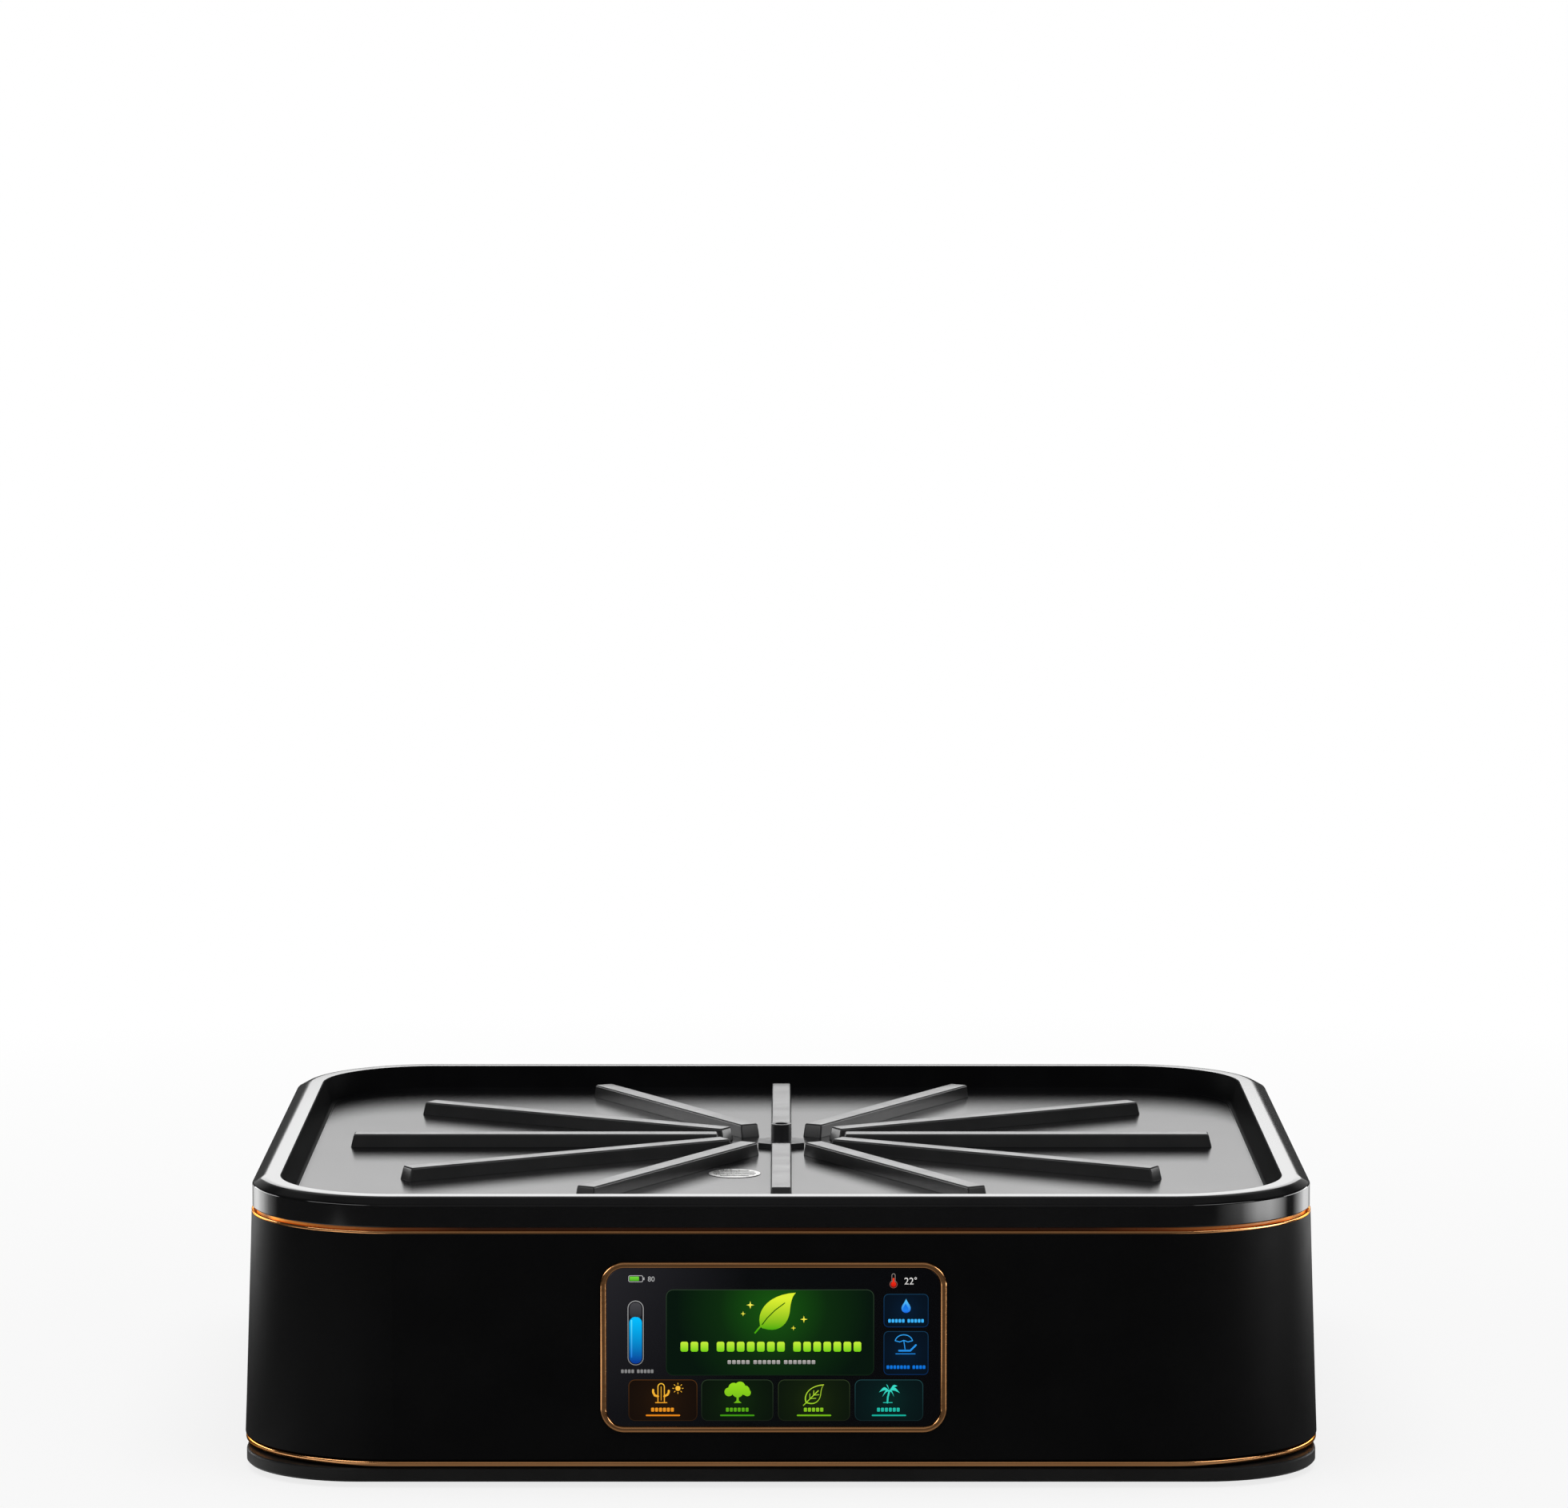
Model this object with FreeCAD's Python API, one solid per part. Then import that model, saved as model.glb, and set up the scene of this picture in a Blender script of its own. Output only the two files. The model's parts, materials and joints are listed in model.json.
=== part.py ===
import FreeCAD, Part
import math
import os

# Smart planter base: a rounded box that waters and lights what stands on its ribbed tray.
# Frame: origin on the ground under the middle, X to the right, Y to the back, Z up, millimetres.

Vector = FreeCAD.Vector
ORIGIN = Vector(0, 0, 0)
UP = Vector(0, 0, 1)
RIGHT = Vector(1, 0, 0)

# Outline of the tray seen from above, as half width, half depth and corner radius
OUTLINE = (199.5, 171.5, 56.0)

# How far each ring stands out past the tray's outline
HEAD_OUT = 0.3
FOOT_OUT = 3.2
MOULDING_OUT = 3.0
PLINTH_OUT = 1.7
PLINTH_CORNER = 44.0

# Heights above the ground
PLINTH_BOTTOM = 2.0
SLAB_TOP = 5.0
PLINTH_TOP = 7.2
TRIM_SEAT = 8.0
LIP_BOTTOM = 10.2
HOUSING_BOTTOM = 10.8
SPIGOT_WALL_TOP = 14.0
HOUSING_TOP = 94.8
BEAD_TOP = 95.9
FLOOR_BOTTOM = 95.5
SKIRT_BOTTOM = 97.1
FLOOR_TOP = 98.5
RIB_TOP = 103.7
RIM_TOP = 108.0

# Base plate
PLINTH_EDGE = 14.0
SPIGOT_INSET = 4.4

# Housing shell
WALL = 3.0
LEDGE_WIDTH = 23.8
LEDGE_THICK = 3.0
FLARE = FOOT_OUT - HEAD_OUT
FACE_TILT = math.degrees(math.atan2(FLARE, HOUSING_TOP - HOUSING_BOTTOM))
LIP_INSET = 1.5
POST_REACH = 48.8
POST_HALF = 4.0
POST_TOP = 30.0
WEB_BOTTOM = 16.0

# Ribbed tray that carries the load
CHAMFER = (4.5, 2.4)
RIM_FLAT = 6.5
INNER_DRAFT = 3.2
RIM_THICK = 3.0
RIB_CENTRE = Vector(0, 10.0, 0)
RIB_START = 24.0
RIB_WIDTH = 8.2
RIB_SIDE_DRAFT = 0.25
RIB_END_DRAFT = 1.4
RIB_REACH = {0: 170.5, 30: 167.0, 60: 149.0, 90: 132.0}

# Soft strips under the tray: (x, y, half length along X, half length along Y)
PAD_TOP = FLOOR_BOTTOM
PAD_SUNK = 1.0
PADS = [(sx * 181.0, sy * 60.0, 4.0, 20.0) for sx in (-1, 1) for sy in (-1, 1)]
PADS += [(sx * 90.0, sy * 153.0, 20.0, 4.0) for sx in (-1, 1) for sy in (-1, 1)]

# Water path in the middle of the tray
NOZZLE_R = 4.0
NOZZLE_TOP = 107.4
NOZZLE_FLANGE_R = 10.5
NOZZLE_BORE_R = 2.5
SPIGOT_R = 5.0
SPIGOT_BOTTOM = 82.0
RUNNING = 0.05
DRAIN = Vector(-18.0, -58.0, 0)
DRAIN_R = 10.0
STRAINER_THICK = 1.2
TAIL_R = 6.5
TAIL_BORE_R = 4.5
TAIL_BOTTOM = 72.0

# Display on the front wall, in the plane of that wall
DISPLAY_X = -2.8
DISPLAY_Z = 52.7
BEZEL = (64.1, 31.8, 9.0)
BEZEL_WIDTH = 2.3
BEZEL_PROUD = 0.9
BEZEL_COLLAR = 2.0
GLASS_THICK = 1.8
GLASS_TOP = BEZEL_PROUD - 0.4
GLASS_BACK = GLASS_TOP - GLASS_THICK
PANEL_THICK = 4.4
SPACER_TALL = 4.0
BOARD_THICK = 1.6

# Water tank and its lid
TANK = (186.0, 136.0, 42.0)
TANK_AT = Vector(0, 24.0, 0)
TANK_WALL = 2.4
TANK_BOTTOM = 8.0
TANK_FLOOR = TANK_BOTTOM + TANK_WALL
TANK_TOP = 58.0
TANK_FLANGE = 9.0
FLANGE_THICK = 4.0
SEAL_THICK = 1.0
SEAL_WIDTH = 4.0
LUG_OUT = 2.5
LUG_Z = (50.0, 54.0)
LUG_HALF = 7.0
CLIP_THICK = 1.2
CLIP_HALF = 6.0
LUG_Y = (TANK_AT.y - 70.0, TANK_AT.y + 70.0)
LID_THICK = 3.0
LID_BOTTOM = TANK_TOP + SEAL_THICK
LID_TOP = LID_BOTTOM + LID_THICK
LID_RIB_TOP = LID_TOP + 2.4
TOWER_R = 12.0
TOWER_TOP = 90.0
RISER_TOP = 78.0
RISER_FOOT = 28.0
RISER_BORE_R = 3.5
SEAL_REACH = 9.2

# Submersible pump on the tank floor
PUMP = Vector(-18.0, 10.0, 0)
PUMP_BODY = (25.0, 18.0)
PUMP_BEVEL = 4.0
PUMP_BODY_AT = PUMP + Vector(1.0, 0, 0)
PUMP_Z = (16.0, 46.0)
OUTLET_R = 8.0
OUTLET_TOP = 52.0
CHAMBER_R = 14.5
CHAMBER_TOP = 26.0
WELL_REACH = 8.1
WELL_TOP = 42.0
SHAFT_R = 1.5
ROTOR_REACH = 7.2
ROTOR_SIDES = 12
VANE_REACH = 13.0
VANES = 5

# Level float on its guide rod
FLOAT = Vector(-120.0, 60.0, 0)
GUIDE_R = 4.0
GUIDE_SIDES = 12
FLOAT_Z = (16.0, 32.0)
FLOAT_BODY = (15.0, 15.0, 5.5)

# Tilting filler door in the back wall
DOOR_X = 70.0
DOOR_Z = 78.25
DOOR = (38.0, 11.75, 2.5)
DOOR_GAP = 0.5
DOOR_THICK = 2.5
DOOR_PIN_R = 1.0
CHEEK_R = 20.0
CHEEK_ANGLE = 52.0
CHEEK_INSET = 2.0
CHEEK_THICK = 2.0

# Trough that leads the water from the door into the tank
TROUGH_HALF = 39.5
TROUGH_FRONT = 116.0
TROUGH_TOP = 89.0
TROUGH_WALL = 2.0
TROUGH_CLEAR = 6.4
SPOUT_Y = (122.0, 136.0)
SPOUT_HALF = 20.0

# Port panel in the back wall
PORT_X = -70.0
PORT_Z = 60.0
PORT_PANEL = (27.0, 13.0, 4.0)
BUTTON_AT = Vector(-13.0, 0, 0)
BUTTON_R = 6.0
SOCKET_AT = Vector(12.0, 0, 0)
SOCKET = (4.6, 1.75, 1.7)
SHELL_BEVEL = 1.15
PORT_BOARD_FACE = -10.6
PLUNGER_TOP = -6.8
PORT_LEAD_Y = 157.8

# Leads inside the base; both end at one connector on the control board
CABLE_R = 1.75
CABLE_SIDES = 6
PUMP_CABLE_AT = Vector(-33.0, 10.0, 0)
CABLE_HOLE = Vector(-43.0, 10.0, 0)
PLUG_Y = -156.0
PLUG_Z = 68.0
ON_LID = LID_TOP + CABLE_R
LEAD_CLIPS = [(CABLE_HOLE.x, -70.0), (CABLE_HOLE.x, -96.0)]

# Battery in the dry bay
BATTERY_AT = Vector(-125.0, -138.0, 0)
BATTERY = (18.6, 18.6, 9.2)
BATTERY_HALF = 34.0
STRAP_HALF = 6.0
STRAP_THICK = 2.0

# Fasteners and feet
SHANK_SIDES = 8
SCREW_R = 1.5
SCREW_HEAD_R = 2.9
SCREW_HEAD_TALL = 1.9
COUNTERBORE_TOP = 4.0
FEET = [(sx * 150.0, sy * 125.0) for sx in (-1, 1) for sy in (-1, 1)]
FOOT = (16.0, 9.0)
FOOT_SUNK = 1.5


# Outlines, sections and sweeps

def grow(outline, by):
    """Offset of a rounded outline; a negative value shrinks it."""
    return tuple(size + by for size in outline)


HEAD = grow(OUTLINE, HEAD_OUT)
MOULDING = grow(OUTLINE, MOULDING_OUT)
SEAT = grow(OUTLINE, PLINTH_OUT)
PLINTH = (SEAT[0], SEAT[1], PLINTH_CORNER)


def turned(vector, quarters):
    """Vector turned about Z by whole quarter turns."""
    return FreeCAD.Rotation(UP, 90 * quarters).multVec(vector)


def corner_centres(outline):
    """Centres of the four corner arcs, anticlockwise from the back right one."""
    run_w, run_d = outline[0] - outline[2], outline[1] - outline[2]
    return [Vector(sx * run_w, sy * run_d, 0) for sx, sy in ((1, 1), (-1, 1), (-1, -1), (1, -1))]


def outline_wire(outline, z):
    """Rounded rectangle as four arcs joined by four lines."""
    radius = outline[2]
    centres = corner_centres(outline)
    edges = []
    for turn, centre in enumerate(centres):
        circle = Part.Circle(centre + Vector(0, 0, z), UP, radius)
        arc = Part.Arc(circle, math.pi / 2 * turn, math.pi / 2 * (turn + 1)).toShape()
        following = centres[(turn + 1) % 4] + Vector(0, 0, z)
        start = following + turned(Vector(radius, 0, 0), turn + 1)
        edges += [arc, Part.makeLine(arc.Vertexes[-1].Point, start)]
    return Part.Wire(Part.__sortEdges__(edges))


def slab(outline, z0, z1, at=ORIGIN):
    """Upright plate with a rounded outline."""
    plate = Part.Face(outline_wire(outline, z0)).extrude(Vector(0, 0, z1 - z0))
    plate.translate(Vector(at.x, at.y, 0))
    return plate


def frame_slab(outline, width, z0, z1, at=ORIGIN):
    """Flat ring with a rounded outline."""
    inner = slab(grow(outline, -width), z0 - 1, z1 + 1, at)
    return slab(outline, z0, z1, at).cut(inner)


def section(corners):
    """Closed face in the XZ plane from (inset, height, bevel) points, with the outside towards +X."""
    points = [Vector(-inset, 0, z) for inset, z, _ in corners]
    outline = []
    for i, (_, _, bevel) in enumerate(corners):
        here, before, after = points[i], points[i - 1], points[(i + 1) % len(points)]
        if bevel:
            outline += [here + (before - here).normalize() * bevel, here + (after - here).normalize() * bevel]
        else:
            outline.append(here)
    return Part.Face(Part.makePolygon(outline + outline[:1]))


def around(outline, face):
    """Solid ring of constant section: straight runs joined by quarter turns at the corners."""
    half_w, half_d, radius = outline
    pieces = []
    for turn, centre in enumerate(corner_centres(outline)):
        blank = face.copy()
        blank.translate(Vector(radius, 0, 0))
        blank.rotate(ORIGIN, UP, 90 * turn)
        blank.translate(centre)
        length = 2 * (half_w - radius if turn % 2 else half_d - radius)
        pieces.append(blank.revolve(centre, UP, 90))
        pieces.append(blank.extrude(turned(Vector(0, -length, 0), turn)))
    return fuse(pieces)


def at_corners(shape, outline):
    """The shape, drawn along +X from a corner's centre, placed on the diagonal of each corner."""
    placed = []
    for turn, centre in enumerate(corner_centres(outline)):
        item = shape.copy()
        item.rotate(ORIGIN, UP, 45 + 90 * turn)
        item.translate(centre)
        placed.append(item)
    return placed


# Solids

def fuse(shapes):
    """One solid without seams."""
    return shapes[0].fuse(shapes[1:]).removeSplitter()


def rod(radius, z0, z1, at=ORIGIN):
    """Upright cylinder."""
    return Part.makeCylinder(radius, z1 - z0, Vector(at.x, at.y, z0))


def pipe(outer, inner, z0, z1, at=ORIGIN):
    """Upright tube."""
    return rod(outer, z0, z1, at).cut(rod(inner, z0 - 1, z1 + 1, at))


def polygon_point(radius, degrees):
    """Point on a circle in the XY plane."""
    return Vector(radius * math.cos(math.radians(degrees)), radius * math.sin(math.radians(degrees)), 0)


def prism(sides, reach, z0, z1, at=ORIGIN):
    """Upright prism with equal sides, measured to its corners."""
    foot = Vector(at.x, at.y, z0)
    corners = [polygon_point(reach, 360 / sides * (i + 0.5)) + foot for i in range(sides + 1)]
    return Part.Face(Part.makePolygon(corners)).extrude(Vector(0, 0, z1 - z0))


def hexagon(reach, z0, z1, at=ORIGIN):
    """Upright hexagonal prism, measured to its corners."""
    return prism(6, reach, z0, z1, at)


def block(x0, x1, y0, y1, z0, z1):
    """Box from its limits."""
    return Part.makeBox(x1 - x0, y1 - y0, z1 - z0, Vector(x0, y0, z0))


def centred(half_x, half_y, z0, z1, at=ORIGIN):
    """Box about an upright line."""
    return block(at.x - half_x, at.x + half_x, at.y - half_y, at.y + half_y, z0, z1)


def bevelled(half_x, half_y, bevel, z0, z1, at):
    """Box about an upright line with its upright edges cut off."""
    short_x, short_y = half_x - bevel, half_y - bevel
    corners = [
        (half_x, short_y), (short_x, half_y), (-short_x, half_y), (-half_x, short_y),
        (-half_x, -short_y), (-short_x, -half_y), (short_x, -half_y), (half_x, -short_y), (half_x, short_y)]
    face = Part.Face(Part.makePolygon([Vector(at.x + x, at.y + y, z0) for x, y in corners]))
    return face.extrude(Vector(0, 0, z1 - z0))


def copies(shape, places):
    """The shape repeated at each (x, y) place, as one compound."""
    moved = []
    for x, y in places:
        item = shape.copy()
        item.translate(Vector(x, y, 0))
        moved.append(item)
    return Part.makeCompound(moved)


def chamfer_at(shape, height, size):
    """Chamfer the flat edges that lie at one height."""
    spans = [(edge, edge.BoundBox.ZMin - height, edge.BoundBox.ZMax - height) for edge in shape.Edges]
    flat = [edge for edge, low, high in spans if max(abs(low), abs(high)) < 1e-4]
    return shape.makeChamfer(size, flat)


def screw(seat, length):
    """Hexagon head screw that points up from its seat."""
    shank = prism(SHANK_SIDES, SCREW_R, seat, seat + length)
    return fuse([hexagon(SCREW_HEAD_R, seat - SCREW_HEAD_TALL, seat), shank])


def cable(bend, points):
    """Lead of many-sided section along straight runs joined by tangent arcs."""
    route = [Vector(*p) for p in points]
    edges, start = [], route[0]
    for before, here, after in zip(route, route[1:], route[2:]):
        to_before, to_after = (before - here).normalize(), (after - here).normalize()
        half_angle = to_before.getAngle(to_after) / 2
        reach = min(bend / math.tan(half_angle), 0.45 * min((before - here).Length, (after - here).Length))
        radius = reach * math.tan(half_angle)
        middle = here + (to_before + to_after).normalize() * (radius / math.sin(half_angle) - radius)
        edges.append(Part.makeLine(start, here + to_before * reach))
        edges.append(Part.Arc(here + to_before * reach, middle, here + to_after * reach).toShape())
        start = here + to_after * reach
    edges.append(Part.makeLine(start, route[-1]))
    ring = Part.makePolygon([polygon_point(CABLE_R, 360 / CABLE_SIDES * i) for i in range(CABLE_SIDES + 1)])
    ring.Placement = FreeCAD.Placement(route[0], FreeCAD.Rotation(UP, route[1] - route[0]))
    return Part.Wire(edges).makePipeShell([ring], True, False)


# Places on the sloping walls

def wall_y(z):
    """Distance of the outer front and back walls from the middle at a height."""
    return HEAD[1] + (HOUSING_TOP - z) * FLARE / (HOUSING_TOP - HOUSING_BOTTOM)


def on_front(shape, x, z):
    """Move a piece drawn flat, facing +Z, onto the sloping front wall."""
    moved = shape.copy()
    moved.rotate(ORIGIN, RIGHT, 90 - FACE_TILT)
    moved.translate(Vector(x, -wall_y(z), z))
    return moved


def on_back(shape, x, z):
    """Move a piece drawn flat, facing +Z, onto the sloping back wall."""
    moved = on_front(shape, -x, z)
    moved.rotate(ORIGIN, UP, 180)
    return moved


def on_display(shape):
    return on_front(shape, DISPLAY_X, DISPLAY_Z)


def on_port(shape):
    return on_back(shape, PORT_X, PORT_Z)


def on_door(shape):
    return on_back(shape, DOOR_X, DOOR_Z)


# Tray, its ribs and the water fittings in it

def tray_rim():
    """Hollow raised rim with a skirt, an outer chamfer and a drafted inner wall."""
    drop, tall = CHAMFER
    flat_end = drop + RIM_FLAT
    foot = flat_end + INNER_DRAFT
    roof = RIM_TOP - RIM_THICK
    return around(OUTLINE, section([
        (0, SKIRT_BOTTOM, 0), (0, RIM_TOP - tall, 0.5), (drop, RIM_TOP, 0), (flat_end, RIM_TOP, 0.6),
        (foot, FLOOR_TOP, 0), (foot + 8, FLOOR_TOP, 0), (foot + 8, FLOOR_BOTTOM, 0),
        (foot - 2.1, FLOOR_BOTTOM, 0), (flat_end - 2.4, roof, 0), (WALL, roof, 0), (WALL, SKIRT_BOTTOM, 0)]))


def rib(angle, reach):
    """One radial rib with drafted sides and ends and a chamfered top edge."""
    wires = []
    for z, side_draft, end_draft in ((FLOOR_TOP - 0.5, 0, 0), (RIB_TOP, RIB_SIDE_DRAFT, RIB_END_DRAFT)):
        start, end, side = RIB_START + end_draft, reach - end_draft, RIB_WIDTH / 2 - side_draft
        corners = [(start, -side), (end, -side), (end, side), (start, side), (start, -side)]
        wires.append(Part.makePolygon([Vector(x, y, z) for x, y in corners]))
    bar = chamfer_at(Part.makeLoft(wires, True, True), RIB_TOP, 0.5)
    bar.rotate(ORIGIN, UP, angle)
    bar.translate(RIB_CENTRE)
    return bar


def top_tray():
    """Shallow tub with a raised rim, twelve ribs and a drain pipe."""
    floor = slab(grow(OUTLINE, -CHAMFER[0] - RIM_FLAT - INNER_DRAFT - 7.0), FLOOR_BOTTOM, FLOOR_TOP)
    ribs = []
    for angle in range(0, 360, 30):
        folded = min(angle % 180, 180 - angle % 180)
        ribs.append(rib(angle, RIB_REACH[folded]))
    tail = rod(TAIL_R, TAIL_BOTTOM, FLOOR_TOP - 1, DRAIN)
    openings = [
        rod(SPIGOT_R + 0.2, FLOOR_BOTTOM - 1, FLOOR_TOP + 1, RIB_CENTRE),
        rod(TAIL_BORE_R, TAIL_BOTTOM - 1, FLOOR_TOP, DRAIN),
        rod(DRAIN_R + 0.1, FLOOR_TOP - STRAINER_THICK, FLOOR_TOP + 1, DRAIN)]
    return fuse([tray_rim(), floor, tail] + ribs).cut(openings)


def water_nozzle():
    """Outlet with a hexagon flange, a stub for an 8 mm inlet above it and a spigot below the tray."""
    stub = rod(NOZZLE_R, FLOOR_TOP, NOZZLE_TOP, RIB_CENTRE)
    flange = hexagon(NOZZLE_FLANGE_R, FLOOR_TOP, FLOOR_TOP + 2, RIB_CENTRE)
    spigot = rod(SPIGOT_R, SPIGOT_BOTTOM, FLOOR_TOP + 1, RIB_CENTRE)
    return fuse([stub, flange, spigot]).cut(rod(NOZZLE_BORE_R, SPIGOT_BOTTOM - 1, NOZZLE_TOP + 1, RIB_CENTRE))


def nozzle_nut():
    """Hexagon nut that clamps the outlet from under the tray."""
    nut = hexagon(9.2, FLOOR_BOTTOM - 4, FLOOR_BOTTOM, RIB_CENTRE)
    return nut.cut(rod(SPIGOT_R + 0.02, SPIGOT_BOTTOM, FLOOR_TOP, RIB_CENTRE))


def drain_strainer():
    """Slotted disc that keeps grit out of the tank."""
    disc = rod(DRAIN_R, FLOOR_TOP - STRAINER_THICK, FLOOR_TOP + 0.2, DRAIN)
    slots = []
    for offset in (-6, -3, 0, 3, 6):
        half = math.sqrt(8.2 ** 2 - offset ** 2)
        slots.append(centred(half, 0.7, FLOOR_BOTTOM, RIB_TOP, DRAIN + Vector(0, offset, 0)))
    return disc.cut(slots)


# Housing, plinth, trims and light

def screw_places():
    """Where the base screws stand, on the diagonals of the housing's corners."""
    return [(p.CenterOfMass.x, p.CenterOfMass.y)
            for p in at_corners(Part.makeSphere(1, Vector(POST_REACH, 0, 0)), HEAD)]


def housing():
    """Flared wall with a ledge for the tray, screw posts, display window and two back openings."""
    under_ledge = HOUSING_TOP - LEDGE_THICK
    lip = LIP_INSET - FLARE
    shell = around(HEAD, section([
        (-FLARE, HOUSING_BOTTOM, 0), (0, HOUSING_TOP, 0), (LEDGE_WIDTH, HOUSING_TOP, 0),
        (LEDGE_WIDTH, under_ledge, 0), (HEAD[1] - wall_y(under_ledge) + WALL, under_ledge, 0),
        (HEAD[1] - wall_y(LIP_BOTTOM) + WALL, LIP_BOTTOM, 0), (lip, LIP_BOTTOM, 0),
        (lip, HOUSING_BOTTOM, 0)]))
    post = block(POST_REACH - POST_HALF, POST_REACH + POST_HALF, -POST_HALF, POST_HALF, SLAB_TOP, POST_TOP)
    web = block(POST_REACH, HEAD[2] + 0.6, -1.2, 1.2, WEB_BOTTOM, POST_TOP)
    door_frame = on_door(centred(DOOR[0] + 4.5, DOOR[1] + 4.5, -6, -1))
    shell = fuse([shell, door_frame] + at_corners(fuse([post, web]), HEAD))
    pad_bottom = HOUSING_TOP - PAD_SUNK
    pockets = [centred(hx, hy, pad_bottom, HOUSING_TOP + 1, Vector(x, y, 0)) for x, y, hx, hy in PADS]
    cuts = pockets + [
        copies(prism(SHANK_SIDES, SCREW_R + RUNNING, SLAB_TOP - 1, 24), screw_places()),
        on_display(slab(grow(BEZEL, -BEZEL_COLLAR + 0.3), -10, 5)),
        on_door(slab(grow(DOOR, DOOR_GAP), -10, 5)),
        on_door(hinge_seat()),
        on_port(slab(PORT_PANEL, -10, 5))]
    return shell.cut(cuts)


def tray_pads():
    """Eight soft strips let into the ledge; the tray rests on them."""
    return Part.makeCompound([centred(hx, hy, HOUSING_TOP - PAD_SUNK, PAD_TOP, Vector(x, y, 0))
                              for x, y, hx, hy in PADS])


def upper_trim():
    """Thin bead that crowns the housing wall."""
    width = 6.5
    return around(HEAD, section([
        (0, HOUSING_TOP, 0), (0, BEAD_TOP, 0), (width, BEAD_TOP, 0), (width, HOUSING_TOP, 0)]))


def light_ring():
    """Flat amber light guide in the shadow gap under the tray's skirt."""
    top = SKIRT_BOTTOM - 0.3
    return around(HEAD, section([(1.9, BEAD_TOP, 0), (1.9, top, 0), (6.5, top, 0), (6.5, BEAD_TOP, 0)]))


def led_bars():
    """Four lamp bars on the ledge that shine outwards into the light guide."""
    z, reach = HOUSING_TOP, 8.6
    bars = []
    for side in (-1, 1):
        y, x = side * (HEAD[1] - reach), side * (HEAD[0] - reach)
        lamps = [centred(1.8, 1.0, z, z + 1.9, Vector(55 * i, y, 0)) for i in (-2, -1, 0, 1, 2)]
        bars.append(fuse([centred(130, 1.4, z, z + 0.5, Vector(0, y, 0))] + lamps))
        lamps = [centred(1.0, 1.8, z, z + 1.9, Vector(x, 55 * i, 0)) for i in (-1, 0, 1)]
        bars.append(fuse([centred(1.4, 100, z, z + 0.5, Vector(x, 0, 0))] + lamps))
    return Part.makeCompound(bars)


def lower_trim():
    """Half-round moulding held between the housing and the plinth."""
    return around(MOULDING, section([
        (0, TRIM_SEAT, 0.7), (0, LIP_BOTTOM, 0.7), (3.2, LIP_BOTTOM, 0), (3.2, TRIM_SEAT, 0)]))


def base_plate():
    """Plinth with a seat and spigot wall for the housing, tank rails and a battery cradle."""
    plinth = around(PLINTH, section([
        (0, PLINTH_BOTTOM, 0.8), (0, PLINTH_TOP, 0.5),
        (PLINTH_EDGE, PLINTH_TOP, 0), (PLINTH_EDGE, PLINTH_BOTTOM, 0)]))
    seat = around(SEAT, section([
        (1.4, SLAB_TOP, 0), (1.4, TRIM_SEAT, 0), (2.2, TRIM_SEAT, 0), (2.2, SPIGOT_WALL_TOP, 0),
        (SPIGOT_INSET, SPIGOT_WALL_TOP, 0), (SPIGOT_INSET, SLAB_TOP, 0)]))
    edge = fuse([plinth, seat]).cut(slab(grow(SEAT, -SPIGOT_INSET), SLAB_TOP, SPIGOT_WALL_TOP + 1))
    floor = slab(grow(PLINTH, 1 - PLINTH_EDGE), PLINTH_BOTTOM, SLAB_TOP)
    rails = [block(-150, 150, y - 1.5, y + 1.5, SLAB_TOP - 0.5, TANK_BOTTOM) for y in (-80, 10, 60, 130)]
    inner_x, inner_y = BATTERY_HALF + 0.5, BATTERY[0] + 0.5
    cradle = centred(inner_x + 2, inner_y + 2, SLAB_TOP - 0.5, 14, BATTERY_AT)
    cradle = cradle.cut([
        centred(inner_x, inner_y, SLAB_TOP - 1, 15, BATTERY_AT),
        centred(STRAP_HALF + 0.3, inner_y + 3, SLAB_TOP, 15, BATTERY_AT)])
    cuts = [
        copies(prism(SHANK_SIDES, SCREW_R + 0.2, 0, 10), screw_places()),
        copies(prism(SHANK_SIDES, SCREW_HEAD_R + 0.4, 0, COUNTERBORE_TOP), screw_places()),
        copies(centred(FOOT[0] + 0.2, FOOT[1] + 0.2, 0, PLINTH_BOTTOM + FOOT_SUNK), FEET)]
    return fuse([edge, floor, cradle] + rails).cut(cuts)


def rubber_feet():
    """Four rubber pads with chamfered soles, set into the underside."""
    return copies(chamfer_at(centred(*FOOT, 0, PLINTH_BOTTOM + FOOT_SUNK), 0, 0.6), FEET)


def base_screws():
    """Screws through the base plate into the housing's posts."""
    return copies(screw(COUNTERBORE_TOP, 14), screw_places())


# Display and electronics behind the front wall

def display_bezel():
    """Rounded metal frame whose collar passes through the wall and carries the glass."""
    shelf = GLASS_BACK - 0.5
    return on_display(around(BEZEL, section([
        (0, 0, 0), (0, BEZEL_PROUD, 0.4), (BEZEL_WIDTH, BEZEL_PROUD, 0), (BEZEL_WIDTH, shelf, 0),
        (5.0, shelf, 0), (5.0, shelf - 1.5, 0), (BEZEL_COLLAR, shelf - 1.5, 0), (BEZEL_COLLAR, 0, 0)])))


def display_glass():
    """Cover glass let into the frame."""
    return on_display(slab(grow(BEZEL, -BEZEL_WIDTH - 0.1), GLASS_BACK, GLASS_TOP))


def display_gasket():
    """Adhesive foam ring between the glass and the frame, with square inner corners."""
    outline = grow(BEZEL, -BEZEL_WIDTH - 0.2)
    window = centred(outline[0] - 2.4, outline[1] - 2.4, GLASS_BACK - 1, GLASS_BACK + 1)
    return on_display(slab(outline, GLASS_BACK - 0.5, GLASS_BACK).cut(window))


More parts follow.
